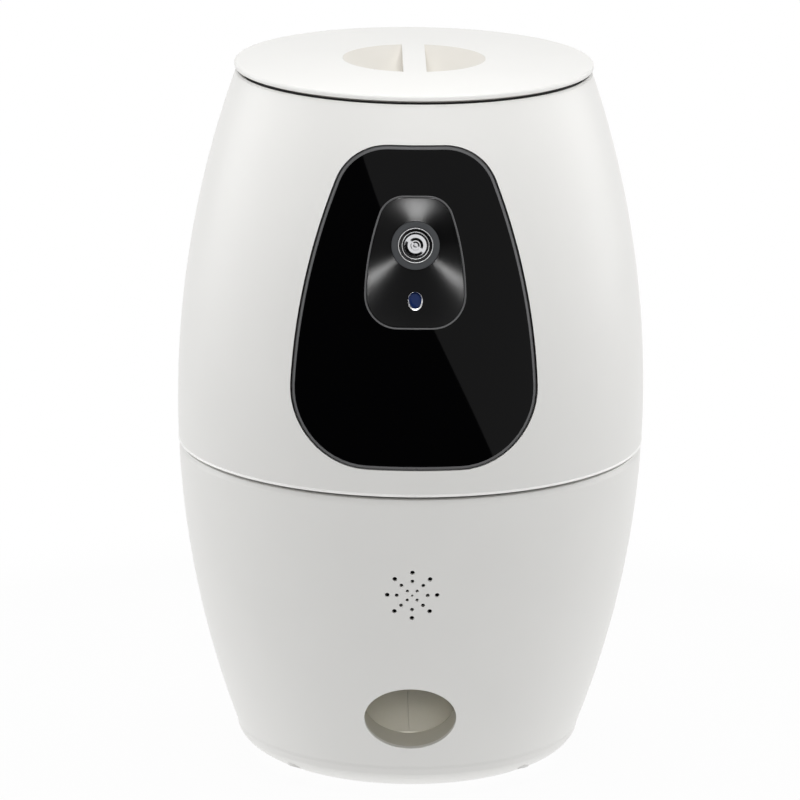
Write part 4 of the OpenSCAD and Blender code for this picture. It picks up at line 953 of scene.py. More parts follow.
@dataclass
class LowerShell:
    """The barrel below the seam: sound holes, treat outlet, port recess and screw wells."""

    barrel: Barrel
    mouth: Mouth
    edge_round: float = 0.4
    tuck: float = 0.7
    tuck_h: float = 3.0
    floor_z: float = 5.0
    ledge_r: float = 35.0
    ledge_z: float = 2.4
    sound_z: float = 81.4
    sound_pocket_r: float = 10.6
    sound_pocket_d: float = 8.0
    sound_skin: float = 1.3
    sound_rings: tuple[tuple[int, float, float, float], ...] = (
        (1, 0.0, 0.0, 0.45), (4, 45.0, 2.45, 0.58), (8, 0.0, 5.5, 0.7), (8, 0.0, 8.85, 0.83))
    mouth_near: float = -100.0
    mouth_far: float = -50.0
    mouth_soft: float = 0.5
    port_w: float = 38.0
    port_h: float = 30.0
    port_z: float = 39.0
    port_round: float = 5.0
    port_wall: float = 2.0
    port_floor: float = 61.0
    port_far: float = 100.0
    well_ring: float = 56.0
    well_start: float = 45.0
    well_r: float = 3.3
    well_wall: float = 1.2
    well_top: float = 103.9
    well_roof: float = 1.0

    def build(self, shop: Workshop) -> None:
        """Turns the shell, cuts its openings and adds the screw wells.

        Args:
            shop: The workshop that takes the piece.
        """
        barrel = self.barrel
        top = barrel.seam_z - self.edge_round
        bend = top - self.tuck_h
        outer = barrel.toe(0.0, 0.0, 16) + barrel.side(barrel.toe_z, bend, 0.0, 56)[1:]
        outer += [(barrel.radius(bend + self.tuck_h * t) - self.tuck * t * t, bend + self.tuck_h * t)
                  for t in (0.2, 0.4, 0.6, 0.8, 1.0)]
        edge = arc((outer[-1][0] - self.edge_round, top), self.edge_round, 10.0, 90.0, 4)
        inner = barrel.side(barrel.seam_z, barrel.toe_z, barrel.wall, 24)
        toe_in = list(reversed(barrel.toe(barrel.wall, self.floor_z, 8)))[1:]
        ledge = [(self.ledge_r, self.floor_z), (self.ledge_r, self.ledge_z), (barrel.sole_r, self.ledge_z)]
        form = Form.spun(outer + edge + inner + toe_in + ledge, 256)
        form.carved(self.sound_pocket(), self.mouth_cut(), self.port_cut(), *self.well_cuts())
        form.carved(*self.sound_holes())
        form.softened(self.mouth_soft, self.on_mouth_edge)
        form.joined(*self.wells(), self.port_box())
        shop.hand_over(form, "lower_shell_skin", "white_shell", Body.CASING, ["lower_shell"],
                       facing=barrel.facing)

    def sound_holes(self) -> list[Form]:
        """Sets the drills for the star of sound holes.

        Returns:
            The drills.
        """
        wall = self.barrel.at_wall(self.sound_z)
        drills = []
        for count, start, ring, radius in self.sound_rings:
            places = [wall @ spin(start + 360.0 * i / count, "Y") @ to_back((ring, 0.0), -3.0)
                      for i in range(count)]
            drills += Form.spread(bored(12.0, (radius, 0.0)), 16, places, closed=True)
        return drills

    def sound_pocket(self) -> Form:
        """Pocket that thins the wall behind the sound holes."""
        place = self.barrel.at_wall(self.sound_z) @ to_back((0.0, 0.0), self.sound_skin)
        return Form.spun(bored(self.sound_pocket_d, (self.sound_pocket_r, 0.0)), 64).moved(place)

    def mouth_cut(self) -> Form:
        """Oval cut of the treat outlet."""
        cut = Form.prism(self.mouth.outline(), self.mouth_near, self.mouth_far)
        return cut.moved(shift(z=self.mouth.z))

    def on_mouth_edge(self, edge: bmesh.types.BMEdge) -> bool:
        """Tells whether an edge lies on the outlet's rim.

        Args:
            edge: The edge.

        Returns:
            Whether it does.
        """
        spots = [v.co for v in edge.verts]
        if any(p.y > 0.0 or abs(self.mouth.reach(p) - 1.0) > 0.01 for p in spots):
            return False
        skin = all(abs(p.xy.length - self.barrel.radius(p.z)) < 0.05 for p in spots)
        return skin and edge.calc_face_angle(0.0) > math.radians(35.0)

    def port_cut(self) -> Form:
        """Cut of the port recess."""
        outline = round_box(self.port_w, self.port_h, self.port_round)
        return Form.prism(outline, self.port_floor, self.port_far).moved(shift(z=self.port_z))

    def port_box(self) -> Form:
        """Lofts the inner walls of the port recess.

        Returns:
            The walls.
        """
        inner, outer = (round_box(self.port_w + 2.0 * grow, self.port_h + 2.0 * grow, self.port_round + grow)
                        for grow in (0.0, self.port_wall))
        depth = self.barrel.radius(self.port_z) - self.barrel.wall - 1.0
        return Form.hoop([[Vector((x, y, z + self.port_z)) for x, z in line]
                          for line, y in ((inner, depth), (inner, self.port_floor),
                                          (outer, self.port_floor), (outer, depth))])

    def well_cuts(self) -> list[Form]:
        """Drills of the screw wells through the toe."""
        places = ring_places(self.well_ring, self.well_start)
        return Form.spread(bored(20.0, (self.well_r, -2.0)), 32, places, closed=True)

    def wells(self) -> list[Form]:
        """Turns the tubes of the screw wells inside the shell.

        Returns:
            The tubes.
        """
        outer, roof = self.well_r + self.well_wall, self.well_top - self.well_roof
        profile = [(self.well_r, self.floor_z), (outer, self.floor_z), (outer, self.well_top),
                   (0.0, self.well_top), (0.0, roof), (self.well_r, roof)]
        return Form.spread(profile, 32, ring_places(self.well_ring, self.well_start), closed=True)


@dataclass
class Lid:
    """The flat lid with its finger recess, bar, skirt and bayonet lugs, and the plug under it."""

    radius: float = 64.8
    low: float = 256.4
    edge: float = 1.9
    crown: float = 1.1
    crown_steps: int = 24
    edge_round: float = 0.9
    under_round: float = 0.9
    grip_r: float = 26.0
    grip_d: float = 9.0
    bar_w: float = 8.2
    grip_soft: float = 0.9
    wall: float = 2.0
    bowl_steps: int = 16
    skirt_r: float = 50.6
    skirt_t: float = 2.0
    skirt_low: float = 246.6
    boss_r: float = 7.0
    boss_low: float = 245.9
    lug_r: float = 52.1
    lug_low: float = 248.1
    lug_h: float = 2.5
    lug_arc: float = 40.0
    plate_r: float = 50.0
    plate_low: float = 240.8
    plate_top: float = 245.8
    plate_t: float = 2.4
    plate_bore: float = 2.05
    rib_w: float = 2.0
    seal_r: float = 50.6
    seal_w: float = 2.0
    seal_lip: float = 1.0
    seal_gap: float = 0.05

    @property
    def top(self) -> float:
        """Height of the middle of the lid."""
        return self.low + self.edge + self.crown

    @property
    def ball(self) -> float:
        """Radius of the ball that hollows the finger recess."""
        return (self.grip_r ** 2 + self.grip_d ** 2) / (2.0 * self.grip_d)

    @property
    def ball_z(self) -> float:
        """Height of the middle of that ball."""
        return self.top - self.grip_d + self.ball

    def build(self, shop: Workshop) -> None:
        """Builds the cap, the plug, its seal and the screw that joins them.

        Args:
            shop: The workshop that takes the pieces.
        """
        self.build_cap(shop)
        self.build_plug(shop)
        self.build_seal(shop)
        screw = Screw(2.0, 9.0, 4.0, 2.2).at([shift(z=self.plate_low - 0.1) @ Axis.DOWN.value])
        shop.hand_over(screw, "lid_pivot_fixing", "steel", Body.LID, ["lid_pivot_screw"])

    def build_cap(self, shop: Workshop) -> None:
        """Turns the cap, hollows the two half-moons, adds the lugs and paints shade into the hollows.

        Args:
            shop: The workshop that takes the piece.
        """
        bow = (self.radius ** 2 + self.crown ** 2) / (2.0 * self.crown)
        flat = self.radius - self.edge_round
        spots = [flat * i / self.crown_steps for i in range(self.crown_steps + 1)]
        crown = [(r, self.top - bow + math.sqrt(bow * bow - r ** 2)) for r in spots]
        edge_mid = crown[-1][1] - self.edge_round
        rim = arc((flat, edge_mid), self.edge_round, 88.0, 0.0, 6)
        skirt_in = self.skirt_r - self.skirt_t
        outer_ball = self.ball + self.wall
        reach = math.sqrt(outer_ball ** 2 - (self.ball_z - self.low) ** 2)
        under = rounded([(self.radius, edge_mid, 0.0), (self.radius, self.low, self.under_round),
                         (self.skirt_r, self.low, 0.3), (self.skirt_r, self.skirt_low, 0.3),
                         (skirt_in, self.skirt_low, 0.3), (skirt_in, self.low, 0.3),
                         (reach, self.low, 0.0)], 3, closed=False)
        spots = [reach + (self.boss_r - reach) * i / self.bowl_steps for i in range(self.bowl_steps + 1)]
        bowl = [(r, self.ball_z - math.sqrt(outer_ball ** 2 - r * r)) for r in spots]
        boss = [(self.boss_r, self.boss_low), (0.0, self.boss_low)]
        form = Form.spun(crown + rim + under + bowl + boss, 256, closed=False)
        form.carved(self.half_moon(1.0), self.half_moon(-1.0))
        form.softened(self.grip_soft, self.on_grip_edge, 4)
        form.fused(*self.lugs())
        cap = shop.hand_over(form, "lid_cap_skin", "white_shell", Body.LID, ["lid_cap"])
        # Painted shade: the finger recess's floor and sides get the darker, warmer white_inner finish, which
        # stands in for the shade in the dish.
        shop.inlay(cap, "white_inner", self.in_grip_painted_shade)

    def in_grip_painted_shade(self, point: Vector) -> bool:
        """Tells whether a point lies in the hollow of the finger recess, which gets painted shade.

        Args:
            point: The point.

        Returns:
            Whether it does.
        """
        floor = abs((point - Vector((0.0, 0.0, self.ball_z))).length - self.ball) < 0.1
        side = (abs(abs(point.x) - self.bar_w / 2.0) < 0.1
                and self.top - self.grip_d < point.z < self.top - self.grip_soft)
        return point.xy.length < self.grip_r and (floor or side)

    def half_moon(self, side: float) -> Form:
        """Cut of one half of the finger recess.

        Args:
            side: 1 for the right half, -1 for the left.

        Returns:
            The cut.
        """
        form = Form()
        bmesh.ops.create_uvsphere(form.bm, u_segments=128, v_segments=64, radius=self.ball)
        form.moved(shift(z=self.ball_z))
        for origin, normal in (((side * self.bar_w / 2.0, 0.0, 0.0), (-side, 0.0, 0.0)),
                               ((0.0, 0.0, self.top + 6.0), (0.0, 0.0, 1.0))):
            everything = form.bm.verts[:] + form.bm.edges[:] + form.bm.faces[:]
            bmesh.ops.bisect_plane(form.bm, geom=everything, dist=1e-5, plane_co=origin,
                                   plane_no=normal, clear_outer=True)
            form.capped()
        return form

    def on_grip_edge(self, edge: bmesh.types.BMEdge) -> bool:
        """Tells whether an edge lies on the rim of the finger recess or along the bar."""
        near = all(v.co.xy.length < self.grip_r + 1.0 and v.co.z > self.top - 0.6 for v in edge.verts)
        return near and edge.calc_face_angle(0.0) > math.radians(20.0)

    def lugs(self) -> list[Form]:
        """Turns the three bayonet lugs on the skirt.

        Returns:
            The lugs.
        """
        inner, top = self.skirt_r - 0.5, self.lug_low + self.lug_h
        profile = rounded([(inner, self.lug_low, 0.0), (self.lug_r, self.lug_low, 0.3),
                           (self.lug_r, top, 0.3), (inner, top, 0.0)], 3)
        return Form.thirds(profile, 24, self.lug_arc, 0.0)

    def build_plug(self, shop: Workshop) -> None:
        """Turns the plate that holds the seal.

        Args:
            shop: The workshop that takes the piece.
        """
        groove = self.seal_r - self.seal_w
        rib = groove - self.rib_w
        lip_low, lip_top = self.plate_low + self.seal_lip, self.plate_top - self.seal_lip
        floor = self.plate_low + self.plate_t
        profile = rounded([(self.plate_bore, self.plate_low, 0.0), (self.plate_r, self.plate_low, 0.5),
                           (self.plate_r, lip_low, 0.2), (groove, lip_low, 0.0), (groove, lip_top, 0.0),
                           (self.plate_r, lip_top, 0.2), (self.plate_r, self.plate_top, 0.4),
                           (rib, self.plate_top, 0.4), (rib, floor, 0.6), (self.boss_r, floor, 0.6),
                           (self.boss_r, self.plate_top, 0.4), (self.plate_bore, self.plate_top, 0.0)], 4)
        shop.hand_over(Form.spun(profile), "lid_plug_plate", "white_inner", Body.LID_INSERT, ["lid_liner"])

    def build_seal(self, shop: Workshop) -> None:
        """Turns the seal with its two soft ridges.

        Args:
            shop: The workshop that takes the piece.
        """
        low = self.plate_low + self.seal_lip + self.seal_gap
        top = self.plate_top - self.seal_lip - self.seal_gap
        middle = (low + top) / 2.0
        inner = self.seal_r - self.seal_w
        profile = rounded([(inner, low, 0.2), (self.seal_r, low, 0.7), (self.seal_r, middle - 0.3, 0.4),
                           (self.seal_r - 0.7, middle, 0.3), (self.seal_r, middle + 0.3, 0.4),
                           (self.seal_r, top, 0.7), (inner, top, 0.2)], 4)
        shop.hand_over(Form.spun(profile), "lid_plug_seal", "pale_rubber", Body.LID_INSERT, ["lid_seal"])


@dataclass
class Screw:
    """A pan-head screw with a cross recess, head up and shank down from the head's underside."""

    shank_r: float
    length: float
    head_r: float
    head_h: float
    slot_w: float = 0.55
    slot_reach: float = 0.55

    def form(self) -> Form:
        """Turns the screw and cuts the cross.

        Returns:
            The screw.
        """
        profile = rounded([(0.0, self.head_h, 0.0), (self.head_r, self.head_h, self.head_h * 0.6),
                           (self.head_r, 0.0, 0.1), (self.shank_r, 0.0, 0.0),
                           (self.shank_r, -self.length, 0.3), (0.0, -self.length, 0.0)], 4, closed=False)
        reach, half = self.head_r * self.slot_reach, self.slot_w / 2.0
        low, top = self.head_h * 0.5, self.head_h + 1.0
        form = Form.spun(profile, 32, closed=False)
        for x, y in ((reach, half), (half, reach)):
            form.carved(Form.block((-x, -y, low), (x, y, top)))
        return form

    def at(self, places: Iterable[Matrix]) -> Form:
        """One form with a screw at each place."""
        first, *others = [self.form().moved(place) for place in places]
        return first.joined(*others)


@dataclass
class FrontWindow:
    """The glossy window that follows the barrel, and the bevelled trim round it."""

    barrel: Barrel
    shape: Shield
    pod: Shield
    thickness: float = 1.6
    sink: float = 0.2
    trim_w: float = 1.4
    trim_bevel: float = 1.0
    trim_drop: float = 0.7
    trim_curve: float = 1.5
    seat: float = 0.02
    steps: int = 48

    def build(self, shop: Workshop) -> None:
        """Lays the window and its trim on the barrel.

        Args:
            shop: The workshop that takes the pieces.
        """
        pairs = list(zip(self.shape.outline(-self.trim_w - self.seat), self.pod.outline(self.seat)))
        loops = []
        for i in range(self.steps + 1):
            part = i / self.steps
            loops.append([self.barrel.front(a[0] + (b[0] - a[0]) * part, a[1] + (b[1] - a[1]) * part, self.sink)
                          for a, b in pairs])
        glass = Form.rings(loops).thickened(self.thickness)
        shop.hand_over(glass, "window_glass", "black_window", Body.CASING, ["front_window"],
                       facing=self.barrel.facing)
        back = self.sink + self.thickness
        profile = [(0.0, back), (0.0, self.sink + self.trim_drop)]
        profile += [(-self.trim_bevel * t, self.sink + self.trim_drop * (1.0 - t) ** self.trim_curve)
                    for t in (0.25, 0.5, 0.75, 1.0)]
        profile += [(-self.trim_w, self.sink), (-self.trim_w, back)]
        trim = Form.hoop(self.barrel.bands(self.shape, profile))
        shop.hand_over(trim, "window_trim_ring", "grey_trim", Body.CASING, ["window_trim"])


@dataclass
class CameraPod:
    """The dished pod in the window, with the lens in its floor and the light sensor below."""

    barrel: Barrel
    shape: Shield
    sink: float = 0.2
    bead: float = 0.3
    bead_w: float = 0.6
    bead_back: float = 1.5
    seat: float = 0.02
    rim_sink: float = 0.15
    lip: float = 0.25
    lens_z: float = 207.7
    lens_rise: float = 1.6
    dish_d: float = 5.2
    dish_slope: float = 0.12
    blend: float = 0.1
    floor_d: float = 6.0
    disc_r: float = 8.5
    disc_gap: float = 0.1
    lens_r: float = 6.2
    ring_w: float = 0.32
    inner_out: float = 4.85
    inner_in: float = 4.62
    glass_r: float = 4.0
    bore_r: float = 2.8
    barrel_d: float = 16.0
    sensor_z: float = 188.2
    sensor_w: float = 5.3
    sensor_h: float = 6.7
    sensor_front: float = 3.63
    sensor_back: float = 6.0
    sensor_ring: float = 0.42
    sensor_lean: float = 0.12
    sensor_drop: float = 0.25
    sensor_steps: int = 48
    depth: float = 12.0
    steps: int = 24

    @property
    def place(self) -> Matrix:
        """Frame of the lens, with its Y axis into the wall."""
        return self.barrel.at_wall(self.lens_z)

    @property
    def sensor_place(self) -> Matrix:
        """Frame of the sensor, turned as that of the lens."""
        return self.place @ shift(z=self.sensor_z - self.lens_z)

    def build(self, shop: Workshop) -> None:
        """Builds the pod, the lens parts and the sensor.

        Args:
            shop: The workshop that takes the pieces.
        """
        self.build_edge(shop)
        self.build_dish(shop)
        self.build_lens(shop)
        self.build_sensor(shop)

    def build_edge(self, shop: Workshop) -> None:
        """Lofts the thin ring round the pod.

        Args:
            shop: The workshop that takes the piece.
        """
        profile = ((0.0, -self.bead_back), (0.0, 0.0), (-0.1 * self.bead_w, 0.7 * self.bead),
                   (-0.4 * self.bead_w, self.bead), (-0.75 * self.bead_w, 0.6 * self.bead),
                   (-self.bead_w, -0.1), (-self.bead_w, -self.bead_back))
        ring = Form.hoop(self.barrel.bands(self.shape, [(grow, self.sink - rise) for grow, rise in profile]))
        shop.hand_over(ring, "pod_edge_ring", "grey_trim", Body.CASING, ["camera_bezel"], sharp=60.0)

    def build_dish(self, shop: Workshop) -> None:
        """Lofts the pod from its back over a thin lip down the dish to the lens.

        Args:
            shop: The workshop that takes the piece.
        """
        place, sunk = self.place, self.sink + self.rim_sink
        edge = self.barrel.bands(self.shape, [(-self.bead_w - self.seat, self.sink)])[0]
        back = [spot + Vector((0.0, self.depth, 0.0)) for spot in edge]
        rim = self.barrel.bands(self.shape, [(-self.bead_w - inset, sunk) for inset in (self.seat, self.lip)])
        starts = [place.inverted() @ spot for spot in rim[1]]
        dish = [[place @ self.on_cone(start, i / self.steps) for start in starts]
                for i in range(self.steps + 1)]
        hole, angles = self.lens_r + self.disc_gap, [math.atan2(start.z, start.x) for start in starts]
        floor = [[place @ Vector((hole * math.cos(a), y, hole * math.sin(a))) for a in angles]
                 for y in (self.dish_d, self.dish_d + self.floor_d)]
        form = Form.hoop([back, *rim, *dish, *floor])
        cut = oval(self.sensor_w + 2.0 * self.seat, self.sensor_h + 2.0 * self.seat, self.sensor_steps)
        form.carved(Form.prism(cut, -6.0, 9.0).moved(self.sensor_place))
        shop.hand_over(form, "camera_pod_dish", "dark_pod", Body.CASING, ["camera_bezel"], sharp=40.0)

    def on_cone(self, start: Vector, part: float) -> Vector:
        """Point of the dish on the way from its rim to the washer.

        The dish is a round cone, which stays behind the window's face where it would come out of it.

        Args:
            start: Point of the rim on the window's face, in the frame of the lens.
            part: 0 at the rim, 1 at the washer.

        Returns:
            The point, in the frame of the lens.
        """
        reach = math.hypot(start.x, start.z)
        behind = self.dish_d - (reach - self.disc_r) * self.dish_slope - start.y
        edge_y = start.y + self.blend * math.log1p(math.exp(behind / self.blend))
        scale = 1.0 + (self.disc_r / reach - 1.0) * part
        y = edge_y + (self.dish_d - edge_y) * part
        return Vector((start.x * scale, y, start.z * scale))

    def build_lens(self, shop: Workshop) -> None:
        """Turns the washer, the rings, the stepped barrel and the front lens.

        Each piece is given by radius, depth behind the lens's front and rounding of its corners.

        Args:
            shop: The workshop that takes the pieces.
        """
        lens_r, glass_r, hole = self.lens_r, self.glass_r, self.lens_r + self.disc_gap
        ring_in, inner_out, inner_in = lens_r - self.ring_w, self.inner_out, self.inner_in
        ring_seat, out_seat, in_seat = ring_in - self.seat, inner_out + self.seat, inner_in - self.seat
        glass_seat = glass_r + self.seat
        pieces = (
            ("lens_washer", "grey_disc", "lens_disc",
             ((hole, 0.5, 0.15), (hole, 2.2, 0.0), (self.disc_r, 2.2, 0.0), (self.disc_r, 0.5, 0.25))),
            ("lens_bright_ring", "bright_metal", "lens_ring",
             ((ring_in, 0.0, 0.2), (lens_r, 0.0, 0.2), (lens_r, 1.0, 0.0), (ring_in, 1.0, 0.0))),
            ("lens_inner_ring", "bright_metal", "lens_barrel",
             ((inner_in, 0.35, 0.12), (inner_out, 0.35, 0.12), (inner_out, 1.2, 0.0), (inner_in, 1.2, 0.0))),
            ("lens_stepped_barrel", "lens_black", "lens_barrel",
             ((ring_seat, 0.4, 0.1), (out_seat, 0.7, 0.0), (out_seat, 1.22, 0.0), (in_seat, 1.22, 0.0),
              (in_seat, 0.9, 0.0), (glass_seat, 0.9, 0.0), (glass_seat, 3.0, 0.0), (self.bore_r, 3.0, 0.0),
              (self.bore_r, self.barrel_d, 0.0), (lens_r, self.barrel_d, 0.2), (lens_r, 1.02, 0.0),
              (ring_seat, 1.02, 0.0))),
            ("lens_front_glass", "lens_glass", "lens_glass",
             ((0.0, 0.9, 0.0), (0.55, 0.95, 0.1), (0.8, 1.35, 0.15), (1.5, 1.15, 0.2), (1.75, 1.3, 0.15),
              (2.75, 0.98, 0.15), (glass_r - 0.3, 1.28, 0.2), (glass_r, 1.3, 0.1), (glass_r, 2.9, 0.0),
              (0.0, 2.9, 0.0))),
        )
        front = self.dish_d - self.lens_rise
        for name, slot, node, corners in pieces:
            profile = rounded([(r, front + y, soft) for r, y, soft in corners], 4)
            form = Form.spun(profile, 96).moved(self.place @ Axis.BACK.value)
            shop.hand_over(form, name, slot, Body.CASING, [node])

    def build_sensor(self, shop: Workshop) -> None:
        """Lofts the oval sensor ring and the lens in it.

        Args:
            shop: The workshop that takes the pieces.
        """
        w, front, back = self.sensor_ring, self.sensor_front, self.sensor_back
        ring = self.sensor_loops([(0.0, back), (0.0, front + 0.12), (0.05, front + 0.02), (0.12, front),
                                  (w - 0.04, front + 0.3), (w, front + 0.36), (w, back)])
        shop.hand_over(Form.hoop(ring), "sensor_rim", "bright_metal", Body.CASING, ["sensor_ring"])
        lens = self.sensor_loops([(w + self.seat, back), (w + self.seat, front + 1.15), (w + 0.4, front + 0.95),
                                  (w + 1.0, front + 0.8), (w + 1.6, front + 0.73)])
        shop.hand_over(Form.rings(lens).capped(), "sensor_lens", "sensor_blue", Body.CASING, ["sensor_window"])

    def sensor_loops(self, profile: Sequence[Point]) -> list[Loop]:
        """Oval loops that lean with the dish and move up as they narrow.

        Args:
            profile: Inset and depth of each loop.

        Returns:
            The loops.
        """
        place, loops = self.sensor_place, []
        for inset, y in profile:
            rise = self.sensor_drop * min(inset / self.sensor_ring, 1.0)
            line = oval(self.sensor_w - 2.0 * inset, self.sensor_h - 2.0 * inset, self.sensor_steps)
            loops.append([place @ Vector((x, y + self.sensor_lean * z, z + rise)) for x, z in line])
        return loops


@dataclass
class Outlet:
    """The oval sleeve inside the treat outlet."""

    barrel: Barrel
    mouth: Mouth
    fit: float = 0.3
    thickness: float = 1.6
    back: float = 46.1
    gap: float = 0.1

    def build(self, shop: Workshop) -> None:
        """Lofts the sleeve between the shell's inner face and the launch housing, and paints shade on its inner
        face.

        Args:
            shop: The workshop that takes the piece.
        """
        inset, wide, mid = self.barrel.wall + self.gap, self.fit + self.thickness, self.mouth.z
        loops = []
        for grow, front in ((self.fit, True), (wide, True), (wide, False), (self.fit, False)):
            loops.append([Vector((x, -(self.barrel.depth(x, z + mid, inset) if front else self.back), z + mid))
                          for x, z in self.mouth.outline(grow)])
        sleeve = shop.hand_over(Form.hoop(loops), "outlet_sleeve_liner", "beige_duct", Body.CASING,
                                ["outlet_sleeve"])
        # Painted shade: the sleeve's inner face gets a darker beige than its outer face, standing in for the
        # shade inside the outlet.
        shop.inlay(sleeve, "beige_sleeve",
                   lambda point: self.mouth.reach(point, self.fit + self.thickness / 2.0) < 1.0)


@dataclass
class Hopper:
    """The treat bin in the barrel, its screws, the cover over its drop hole and the portion rotor."""

    tub_r: float = 45.5
    tub_wall: float = 2.2
    low: float = 125.9
    floor: float = 128.9
    funnel_z: float = 226.2
    land_z: float = 238.2
    land_r: float = 51.0
    groove_z: float = 246.2
    groove_r: float = 52.5
    neck_r: float = 54.7
    flange_r: float = 61.5
    flange_z: float = 253.5
    top: float = 255.5
    bolt_ring: float = 58.5
    bolt_start: float = 45.0
    tab_z: float = 251.0
    tab_t: float = 2.5
    tab_root: float = 0.4
    tab_arc: float = 60.0
    tab_start: float = 60.0
    bush_r: float = 5.02
    drop_w: float = 24.0
    drop_y: float = 29.5
    rotor_z: float = 129.5
    rotor_r: float = 43.9
    hub_r: float = 9.0
    nose_r: float = 3.0
    nose_h: float = 6.0
    bore_r: float = 3.02
    bore_h: float = 16.0
    vane_h: float = 20.0
    vane_t: float = 3.0
    vane_root: float = 1.0
    vane_soft: float = 0.7
    vanes: int = 6
    cover_in: float = 12.0
    cover_z: float = 150.3
    cover_rise: float = 12.0
    cover_t: float = 2.0
    cover_arc: float = 80.0
    cover_gap: float = 0.02

    def build(self, shop: Workshop) -> None:
        """Builds the bin, its screws, the cover and the rotor.

        Args:
            shop: The workshop that takes the pieces.
        """
        self.build_bin(shop)
        screw = Screw(1.1, 6.6, 2.0, 1.3)
        places = [place @ shift(z=self.top - screw.head_h)
                  for place in ring_places(self.bolt_ring, self.bolt_start)]
        shop.hand_over(screw.at(places), "hopper_flange_fixings", "steel", Body.CASING, ["hopper_screws"])
        self.build_cover(shop)
        self.build_rotor(shop)

    def build_bin(self, shop: Workshop) -> None:
        """Turns the bin, adds its bayonet tabs, cuts its holes and paints shade on its flange's edge.

        Args:
            shop: The workshop that takes the piece.
        """
        outer = self.tub_r + self.tub_wall
        profile = rounded([(0.0, self.low, 0.0), (outer, self.low, 1.0), (outer, self.funnel_z, 2.0),
                           (self.neck_r, self.land_z, 2.0), (self.neck_r, self.flange_z, 0.6),
                           (self.flange_r, self.flange_z, 0.3), (self.flange_r, self.top, 0.3),
                           (self.groove_r, self.top, 0.4), (self.groove_r, self.groove_z, 0.2),
                           (self.land_r, self.groove_z, 0.2), (self.land_r, self.land_z, 1.5),
                           (self.tub_r, self.funnel_z, 1.5), (self.tub_r, self.floor, 2.0),
                           (0.0, self.floor, 0.0)], 4, closed=False)
        form = Form.spun(profile, closed=False)
        root, tab_top = self.groove_r + self.tab_root, self.tab_z + self.tab_t
        tab = rounded([(self.land_r, self.tab_z, 0.3), (root, self.tab_z, 0.0), (root, tab_top, 0.0),
                       (self.land_r, tab_top, 0.3)], 3)
        form.fused(*Form.thirds(tab, 36, self.tab_arc, self.tab_start))
        half, under, over = self.drop_w / 2.0, self.low - 1.0, self.floor + 1.0
        drop = Form.block((-half, self.drop_y - half, under), (half, self.drop_y + half, over))
        bush = Form.spun(bored(over, (self.bush_r, under)), 64, closed=False)
        places = [place @ shift(z=self.top) for place in ring_places(self.bolt_ring, self.bolt_start)]
        form.carved(drop, bush, *Form.spread(bored(1.0, (1.2, -3.0), (2.1, -1.3)), 32, places))
        tub = shop.hand_over(form, "hopper_bin", "white_inner", Body.CASING, ["hopper"])
        # Painted shade: the flange's outer edge gets the dark rubber finish, a dark band that stands in for the
        # shadow gap under the lid's edge.
        shop.inlay(tub, "rubber", lambda p: p.xy.length > self.flange_r - 0.1 and p.z > self.flange_z)

    def build_cover(self, shop: Workshop) -> None:
        """Turns the sloped cover over the drop hole.

        Args:
            shop: The workshop that takes the piece.
        """
        outer, top = self.tub_r - self.cover_gap, self.cover_z + self.cover_rise
        profile = rounded([(self.cover_in, self.cover_z, 0.3), (outer, self.cover_z, 0.2), (outer, top, 0.2),
                           (outer - self.cover_t, top, 0.5),
                           (self.cover_in, self.cover_z + self.cover_t, 0.5)], 3)
        form = Form.spun(profile, 40, self.cover_arc).moved(spin(90.0 - self.cover_arc / 2.0))
        shop.hand_over(form, "drop_hole_cover", "white_inner", Body.CASING, ["drop_cover"])

    def build_rotor(self, shop: Workshop) -> None:
        """Turns the rotor's hub and sets its vanes.

        Args:
            shop: The workshop that takes the piece.
        """
        low, half = self.rotor_z, self.vane_t / 2.0
        top, bore_top = low + self.vane_h, low + self.bore_h
        profile = rounded([(0.0, bore_top, 0.0), (self.bore_r, bore_top, 0.0), (self.bore_r, low, 0.0),
                           (self.hub_r, low, 0.4), (self.hub_r, top, 2.0),
                           (self.nose_r, top + self.nose_h, 1.2), (0.0, top + self.nose_h, 0.0)],
                          4, closed=False)
        vanes = []
        for i in range(self.vanes):
            vane = Form.block((self.hub_r - self.vane_root, -half, low), (self.rotor_r, half, top),
                              self.vane_soft)
            vanes.append(vane.moved(Matrix.Rotation(TURN * i / self.vanes, 4, "Z")))
        form = Form.spun(profile, 96, closed=False).fused(*vanes)
        shop.hand_over(form, "portion_wheel", "beige_duct", Body.ROTOR, ["portion_rotor"])


